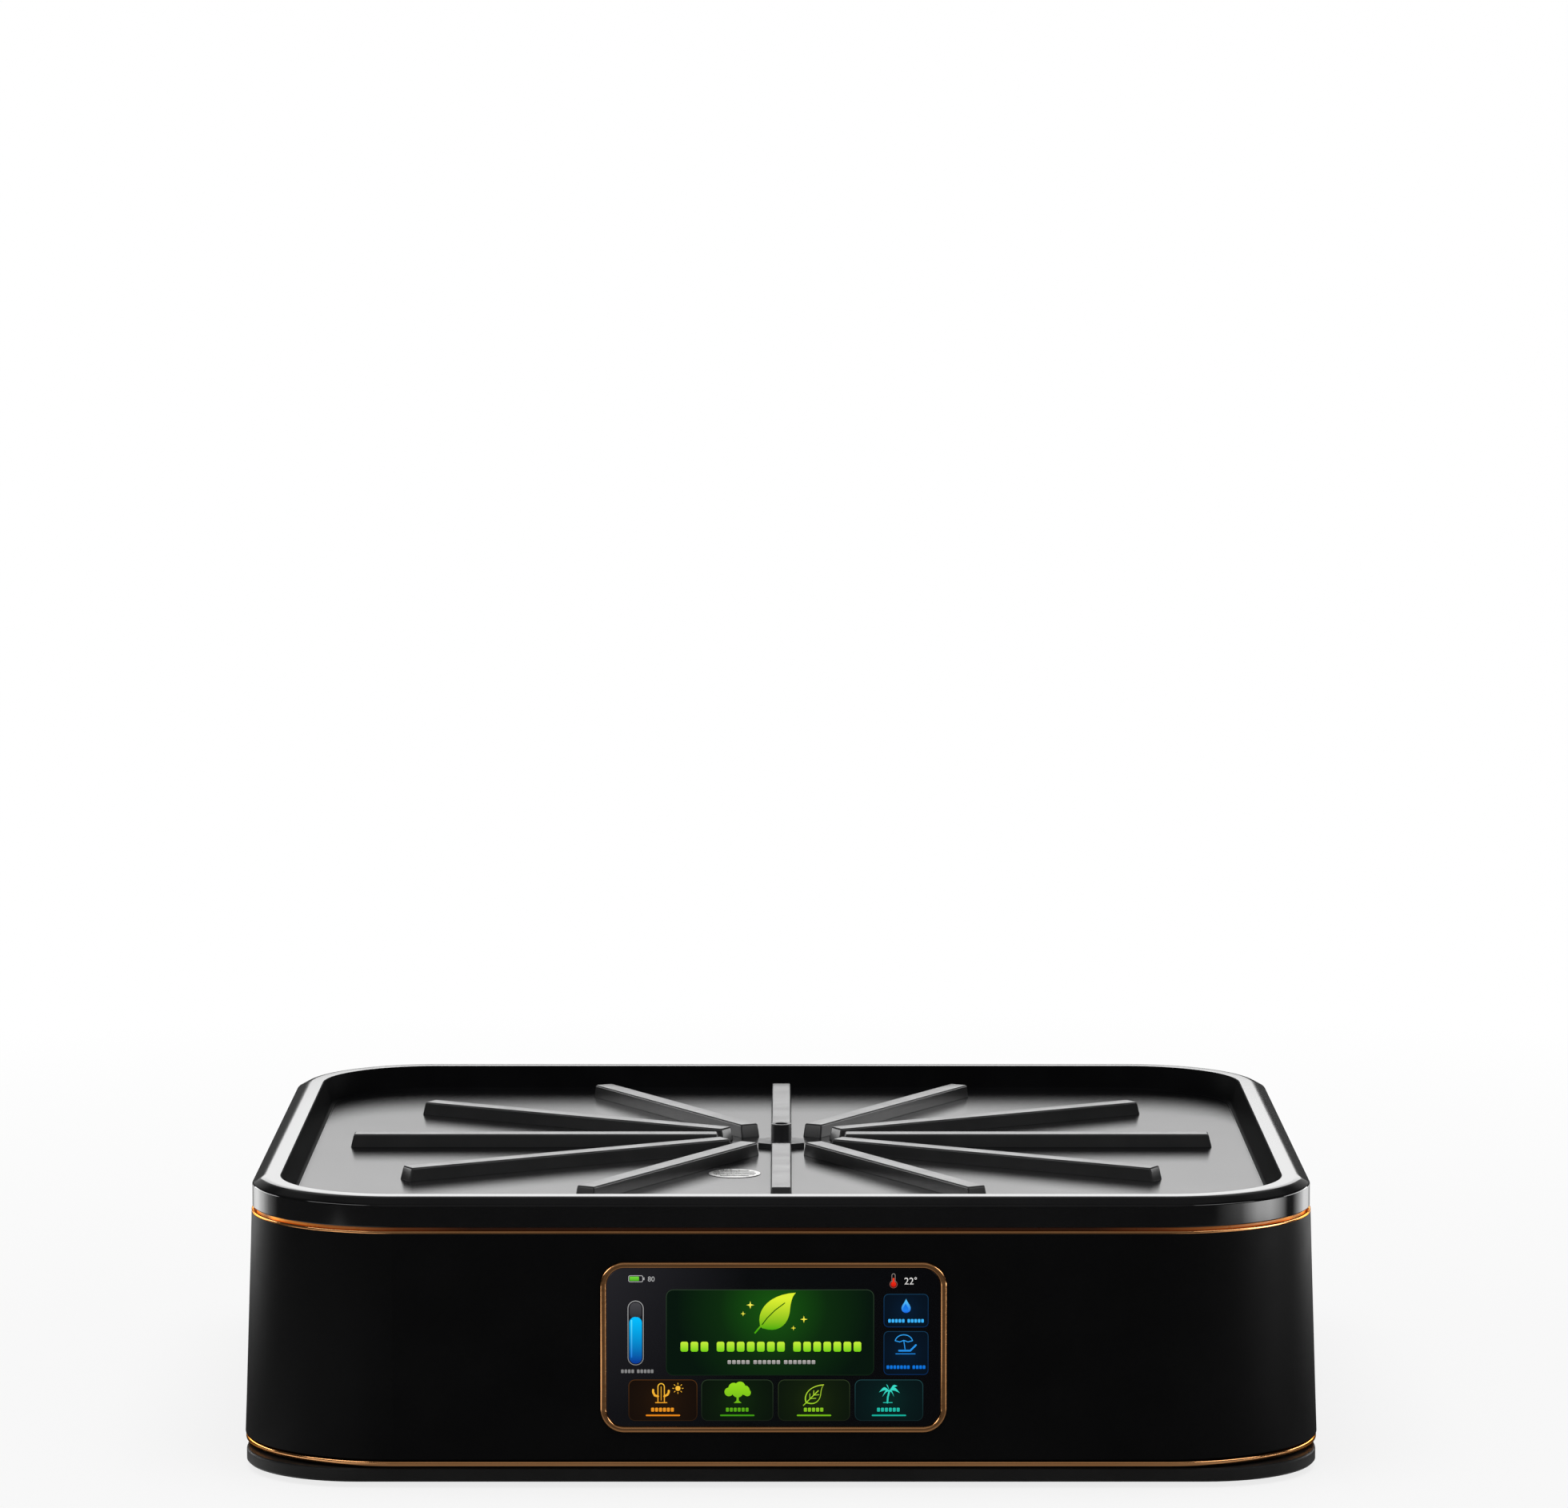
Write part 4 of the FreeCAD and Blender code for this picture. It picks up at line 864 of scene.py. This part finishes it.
def drop_loop(x, y, size):
    """Water drop with its point up."""
    return placed(x, y, size, (
        ((0, 1.0), (-0.12, 0.6), (-0.55, 0.2), (-0.55, -0.15)),
        ((-0.55, -0.15), (-0.55, -0.5), (-0.3, -0.7), (0, -0.7)),
        ((0, -0.7), (0.3, -0.7), (0.55, -0.5), (0.55, -0.15)),
        ((0.55, -0.15), (0.55, 0.2), (0.12, 0.6), (0, 1.0))))


def star(x, y, size):
    """Four-pointed sparkle."""
    loop = []
    for i in range(8):
        reach = 0.28 * size if i % 2 else size
        loop.append((x + reach * math.cos(math.pi / 4 * i), y + reach * math.sin(math.pi / 4 * i)))
    return flat(loop)


def cactus(x, y):
    """Outlined column with two arms, and a small sun."""
    column = [(-4, -12), (-4, 8)] + arc(0, 8, 4, 4, 180, 0, 8) + [(4, -12)]
    trunk = lines(x, y, 1.2, column, [(-7, -12), (7, -12)])
    arms = lines(x, y, 2.6, [(-4, -4), (-8, -3), (-10, 1), (-10, 4)],
                 [(4, -4), (8, -2), (9.5, 1), (9.5, 3)])
    sun_x, sun_y = 21, 6
    rays = []
    for i in range(8):
        across, up = math.cos(math.pi / 4 * i), math.sin(math.pi / 4 * i)
        rays.append([(sun_x + reach * across, sun_y + reach * up) for reach in (5, 6.6)])
    thin = lines(x, y, 0.8, [(0, -9), (0, 8)], *rays)
    return merged([trunk, arms, thin, flat(circle(3.2, (x + sun_x, y + sun_y), 20))])


def tree(x, y):
    """Round crown of overlapping discs on a spreading trunk."""
    crown = ((-11, 1, 5.5), (-5, 6, 6.5), (3, 7.5, 6.5), (9, 3, 6), (12, 0, 4.5), (0, 1, 7))
    puffs = [flat(circle(r, (x + dx, y + dy), 28)) for dx, dy, r in crown]
    trunk = ((-5, -13), (-1.4, -10), (-1.2, -3), (1.2, -3), (1.4, -10), (5, -13))
    return merged(puffs + [flat([(x + dx, y + dy) for dx, dy in trunk])])


def palm(x, y):
    """Curved trunk with drooping fronds."""
    trunk = lines(x, y, 2.2, [(-2, -12), (-1.5, -5), (0.5, 3)])
    ground = lines(x, y, 1.0, [(-7, -12), (4, -12)])
    leaves = ((-13, -2, 7), (-9, -8, 5), (-4, 8, 4), (10, 6, 6), (13, -3, 7), (6, -8, 4))
    start_x, start_y = start = (x + 0.5, y + 3)
    fronds = []
    for reach_x, reach_y, lift in leaves:
        tip = (start_x + reach_x, start_y + reach_y)
        half_x, half_y = start_x + reach_x * 0.5, start_y + reach_y * 0.4
        middle, under = (half_x, half_y + lift), (half_x, half_y + lift * 0.25)
        fronds.append(flat(bezier((start, middle, middle, tip), (tip, under, under, start))))
    return merged([trunk, ground] + fronds)


def parasol(x, y):
    """Outlined parasol over a lounger."""
    canopy = arc(0, 3, 11, 9, 170, 10) + [(5, 3), (0, 5), (-5, 3), (-10.8, 4.5)]
    return merged([
        lines(x, y, 1.1, canopy, [(0, 4), (1.5, -6)]),
        lines(x, y, 2.2, [(-6, -8), (8, -8), (15, -1)]),
        lines(x, y, 1.0, [(-10, -12), (14, -12)])])


def leaf_outline(x, y):
    """Hollow leaf with its veins."""
    veins = lines(x, y, 0.9, [(6, 5.5), (6, 12)], [(6.5, 6), (13.5, 6.5)],
                  [(10.5, 10), (11, 16)], [(11, 10.5), (17.5, 11)])
    blade = band(leaf_loop(x, y, 24), leaf_loop(x + 1.5, y + 1.4, 21.2))
    return merged([blade, lines(x, y, 1.2, [(-2, -2.5), (16.5, 16)]), veins])


def lit(name, shapes, material):
    piece(name, moved(merged(shapes), ON_DISPLAY), "screen", material=material, weighted=False)


def height_of(y):
    """Height in metres of a layout line."""
    return (DISPLAY_Z + y * UNIT * math.cos(TILT)) * MM


def two_tone(name, shapes, low, high, y0, y1):
    """Lit shapes whose colour rises from low to high between two layout lines."""
    lit(name, shapes, glowing(name, low, high, height_of(y0), height_of(y1)))


def tinted_tile(name, tile, radius, reach, inner, outer, low, high):
    """Tile that is brightest in its middle, from inner to outer, with a thin edge from low to high."""
    middle = ((DISPLAY_X + (tile[0] + tile[2]) / 2 * UNIT) * MM, height_of((tile[1] + tile[3]) / 2))
    lit(name + "_field", [flat(box_loop(*tile, radius), FIELD)],
        glow_spot(name + "_field", middle, reach, inner, outer))
    two_tone(name + "_edge", [box_band(*tile, radius, 0.8)], low, high, tile[1], tile[3])


def make_fields():
    """Tinted fields behind the icons, with their thin edges."""
    lit("status_field", [flat(box_loop(*MAIN, 9), FIELD)],
        glow_spot("status_field", (DISPLAY_X * MM, height_of(50)), 0.036, (22, 84, 14), (4, 20, 10)))
    two_tone("status_edge", [box_band(*MAIN, 9, 0.8)], (14, 34, 18), (44, 62, 44), -35, 73)
    shades = {
        "amber": ((38, 22, 8), (20, 11, 6), (84, 50, 20)),
        "forest": ((14, 38, 10), (7, 18, 8), (44, 60, 40)),
        "leaf": ((26, 40, 10), (9, 20, 8), (48, 62, 36)),
        "teal": ((6, 36, 34), (4, 18, 20), (32, 70, 74))}
    for name, tile in MODE_TILES.items():
        inner, outer, edge = shades[name]
        tinted_tile(name, tile, 8, 0.014, inner, outer, [c * 0.5 for c in edge], edge)
    for name, tile in SIDE_TILES.items():
        tinted_tile(name, tile, 6, 0.011, (4, 26, 48), (3, 14, 26), (6, 44, 92), (20, 58, 86))


def make_status():
    """Large leaf, sparkles and lines of blocks in the main field."""
    two_tone("status_line", [blocks(-117.5, 111.5, 1.0, 12.5, 3, 7, 7)],
             (110, 205, 20), (200, 240, 60), -5.5, 7.5)
    two_tone("status_note", [blocks(-58, 53, -18.5, 5, 5, 6, 7)],
             (130, 130, 128), (180, 176, 172), -21, -16)
    two_tone("big_leaf", [flat(leaf_loop(-17, 24, 45)), line([(-23, 18.5), (-15, 28)], 2.0)],
             (70, 170, 10), (222, 240, 50), 22, 62)
    two_tone("big_leaf_vein", [line([(-14, 29), (-8, 37), (2, 47), (14, 56)], 1.3, DETAIL)],
             (16, 70, 6), (40, 100, 8), 22, 62)
    stars = [star(*spot) for spot in ((-29, 53.5, 5.0), (-38, 42.5, 3.2), (38, 35.5, 4.6), (25, 24.5, 3.2))]
    two_tone("sparkles", stars, (236, 226, 60), (250, 244, 90), 20, 60)


def make_gauges():
    """Charge and water level at the left."""
    cell = [box_band(-181.3, 82.3, -162.9, 90.8, 2.2, 0.8),
            flat(box_loop(-162.6, 84.8, -161.2, 88.3, 0.6), EDGE)]
    tube = [box_band(-182.3, -22.5, -162.3, 59.0, 9.8, 0.9)]
    marks = [digits("80", -157.2, 83.2, 6.2), blocks(-191, -149.5, -30.0, 4.5, 4, 5)]
    two_tone("charge_outline", cell + tube + marks, (130, 130, 130), (176, 176, 176), -32, 90)
    two_tone("charge_fill", [flat(box_loop(-179.8, 83.8, -168.0, 89.3, 0.9))],
             (60, 160, 20), (120, 220, 60), 83, 90)
    two_tone("gauge_air", [flat(box_loop(-179.6, 36.0, -165.0, 56.5, 6.5), FIELD)],
             (44, 44, 48), (70, 70, 74), 36, 56)
    surface = 38.5
    column = box_loop(-180.2, -20.3, -164.4, surface, 7.5)
    water = [(x, min(y, surface + 0.4 * math.sin(x))) for x, y in column]
    two_tone("gauge_water", [flat(water, EDGE)], (6, 60, 150), (0, 190, 255), -18, 38)
    two_tone("gauge_shine", [line([(-177.4, -12), (-177.4, 34)], 1.6)],
             (24, 110, 215), (90, 225, 255), -15, 36)


def make_side():
    """Temperature, supply and away drawings at the right."""
    degree, bulb = (177.6, 87.0), (150.0, 79.6)
    two_tone("digits_right", [digits("22", 163.2, 79.4, 8.6),
                              band(circle(1.5, degree, 16), circle(0.8, degree, 16))],
             (200, 198, 196), (236, 234, 232), 79, 89)
    two_tone("thermometer", [flat(circle(3.4, bulb, 20)), line([(150.0, 80), (150.0, 86.5)], 2.2)],
             (200, 14, 6), (255, 60, 30), 76, 88)
    two_tone("thermometer_edge", [box_band(147.6, 81.0, 152.4, 93.2, 2.4, 0.7),
                                  band(circle(4.9, bulb, 24), circle(4.2, bulb, 24), EDGE)],
             (150, 60, 48), (150, 140, 134), 74, 93)
    two_tone("supply_icon", [flat(drop_loop(165.7, 51.0, 10.5))], (6, 90, 220), (90, 200, 255), 43, 61)
    two_tone("supply_shine", [flat(drop_loop(165.2, 49.6, 6.0), DETAIL)],
             (30, 130, 240), (10, 110, 225), 44, 56)
    bars = [blocks(143.0, 188.5, 33.6, 4.4, 5, 5), blocks(141.0, 190.5, -24.8, 4.4, 7, 4)]
    two_tone("side_captions", bars + [parasol(163.0, 4.0)], (8, 110, 215), (60, 180, 250), -27, 36)


def make_modes():
    """Icon, blocks and bar of each mode tile."""
    modes = (
        ("amber", cactus(-140.5, -57.5), (-153.5, -124.0), 6, (225, 130, 24), (252, 196, 60)),
        ("forest", tree(-44.8, -57.0), (-60.0, -30.5), 6, (60, 150, 16), (150, 220, 30)),
        ("leaf", leaf_outline(39.5, -70.5), (37.5, 63.0), 5, (110, 180, 20), (190, 225, 60)),
        ("teal", palm(144.5, -57.5), (129.0, 158.5), 6, (20, 170, 150), (60, 225, 205)))
    for name, icon, (x0, x1), count, low, high in modes:
        tile = MODE_TILES[name]
        bar = lines((tile[0] + tile[2]) / 2, -85.6, 2.0, [(-20.5, 0), (20.5, 0)])
        two_tone(name + "_icon", [icon, blocks(x0, x1, -78.4, 5.0, count), bar], low, high, -86, -44)


make_fields()
make_status()
make_gauges()
make_side()
make_modes()


# CAD pieces that keep their own shape

for thing in frame["nodes"].values():
    own_slot = thing.data.materials[0].name.split(".")[0]
    thing.data.materials.clear()
    thing.data.materials.append(FINISH[own_slot])


# Floor, backdrop and light

def reflected_floor(made):
    """Brightness of the floor in reflections: dark, with pale patches beside the front corners."""
    side, depth = made.axis("X"), made.axis("Y")
    across = made.maths("ABSOLUTE", side)
    # Distance and angle about a point under each front corner; the angle is a share of a half turn
    backwards = made.maths("ADD", depth, 0.15)
    sideways = made.maths("SUBTRACT", across, 0.19)
    squares = [made.maths("POWER", value, 2.0) for value in (sideways, backwards)]
    distance = made.maths("SQRT", made.maths("ADD", *squares))
    angle = made.maths("MULTIPLY", made.maths("ARCTAN2", sideways, backwards), 1 / math.pi)
    left = made.ramp(angle, greys(
        (0.095, 0), (0.125, 0.2), (0.20, 0.42), (0.27, 0.36), (0.33, 0.12), (0.40, 0)))
    right = made.ramp(angle, greys(
        (0.095, 0), (0.125, 0.2), (0.21, 0.42), (0.26, 0.3), (0.33, 0), (0.38, 0),
        (0.45, 0.6), (0.50, 1), (0.58, 1), (0.67, 0.2), (0.80, 0)))
    rightward = made.spread(side, 0.0, 1.0, -0.01, 0.01)
    corner = made.product(made.mixed(rightward, left, right), made.spread(distance, 0.0, 6.6, 0.50, 0.56))
    beside = made.product(
        made.spread(across, 0.0, 1.0, 0.16, 0.22), made.spread(across, 1.0, 0.0, 0.52, 0.62),
        made.spread(backwards, 1.0, 0.0, 0.0, 0.05), made.spread(backwards, 0.0, 1.0, -0.45, -0.38),
        made.spread(rightward, 0.9, 0.4, 0.0, 1.0))
    strip = made.product(
        made.spread(backwards, 0.0, 1.0, -0.12, -0.09), made.spread(across, 1.0, 0.0, 0.19, 0.21))
    behind = made.product(
        made.spread(across, 1.0, 0.0, 0.30, 0.45), made.spread(depth, 0.0, 1.0, 0.22, 0.55))
    patches = made.maths("MAXIMUM", made.maths("MAXIMUM", corner, beside), behind)
    return made.maths("ADD", patches, made.spread(strip, 0.08, 0.2, 0.0, 1.0))


def make_floor():
    """Pale floor that is plain white to the camera far out, and keeps the object's shadow near it."""
    made = Material("floor")
    made.tree.nodes.remove(made.shader)
    pale = made.node("BsdfDiffuse")
    pale.inputs["Color"].default_value = (0.95, 0.95, 0.95, 1)
    white = made.node("Emission")
    white.inputs["Color"].default_value = (1, 1, 1, 1)
    from_camera, indirect = made.rays()
    far = made.spread(made.measure("LENGTH", made.place), 0.80, 1.0, 0.35, 1.1)
    reflected = made.product(indirect, reflected_floor(made))
    made.wire(made.maths("MAXIMUM", from_camera, reflected), white, "Strength")
    made.blend(made.maths("MAXIMUM", indirect, made.product(from_camera, far)), pale, white, made.output)
    mesh = bpy.data.meshes.new("floor")
    size = 14.0
    corners = [(-size, -size, 0), (size, -size, 0), (size, size, 0), (-size, size, 0)]
    mesh.from_pydata(corners, [], [(0, 1, 2, 3)])
    mesh.materials.append(made.material)
    floor = bpy.data.objects.new("floor", mesh)
    bpy.context.scene.collection.objects.link(floor)


def make_world():
    """White to the camera, banded grey in reflections and a plain grey light otherwise."""
    world = bpy.data.worlds.new("studio")
    bpy.context.scene.world = world
    world.use_nodes = True
    made = Nodes(world.node_tree, "Generated")
    bands = made.ramp(made.axis("Z"), greys(
        (0.09, 0.08), (0.14, 0.35), (0.32, 0.3), (0.42, 0.1),
        (0.5, 0.1), (0.56, 0.3), (0.68, 0.3), (0.78, 0.1)))
    middle = made.spread(made.maths("ABSOLUTE", made.axis("X")), 1.0, 0.15, 0.22, 0.4)
    from_camera, indirect = made.rays()
    backdrop = made.node("Background")
    backdrop.inputs["Color"].default_value = (1, 1, 1, 1)
    made.wire(made.maths("MAXIMUM", from_camera, made.product(bands, middle)), backdrop, "Strength")
    ambient = made.node("Background")
    ambient.inputs["Strength"].default_value = 0.4
    made.blend(made.maths("MAXIMUM", from_camera, indirect), ambient, backdrop, made.node("OutputWorld"))


def softbox(name, at, towards, width, height, radiance, diffuse=True, glossy=True):
    """Square lamp of a stated brightness, unseen by the camera."""
    data = bpy.data.lights.new(name, "AREA")
    data.shape = "RECTANGLE"
    data.size, data.size_y = width, height
    data.energy = math.pi * radiance * width * height
    lamp = bpy.data.objects.new(name, data)
    lamp.location = at
    lamp.rotation_euler = (Vector(towards) - Vector(at)).to_track_quat("-Z", "Y").to_euler()
    lamp.visible_camera = False
    lamp.visible_diffuse = diffuse
    lamp.visible_glossy = glossy
    bpy.context.scene.collection.objects.link(lamp)


def make_lamps():
    """Lamps behind and above, and a pair each at the sides and in front that only show as reflections."""
    softbox("rear", (0, 2.2, 0.85), (0, 0, 0.85), 1.5, 0.9, 1.75)
    softbox("top", (0, -0.3, 2.2), (0, 0, 0), 2.2, 1.5, 2.4, glossy=False)
    pairs = (("", 1.27, 0.79, 0.27, 1.2, 0.29, 5.0), ("front_", 1.15, -0.96, 0.8, 1.3, 0.4, 3.2))
    for prefix, x, y, z, width, height, radiance in pairs:
        for side, sign in (("left", -1), ("right", 1)):
            softbox(prefix + side, (sign * x, y, z), (0, 0, 0.1), width, height, radiance, diffuse=False)


def make_camera():
    """Long lens at the photograph's angle: focal length and frame width are in its pixels."""
    focal, frame_width, sensor, below_level = 8300, 1960, 36.0, 5.784
    data = bpy.data.cameras.new("camera")
    data.sensor_width = sensor
    data.lens = focal / frame_width * sensor
    data.clip_end = 60.0
    camera = bpy.data.objects.new("camera", data)
    camera.location = (0.00109, -2.5929, 0.5182)
    camera.rotation_euler = (math.radians(90 - below_level), 0, 0)
    bpy.context.scene.collection.objects.link(camera)
    bpy.context.scene.camera = camera


make_floor()
make_world()
make_lamps()
make_camera()
bpy.context.scene.view_settings.view_transform = "Standard"
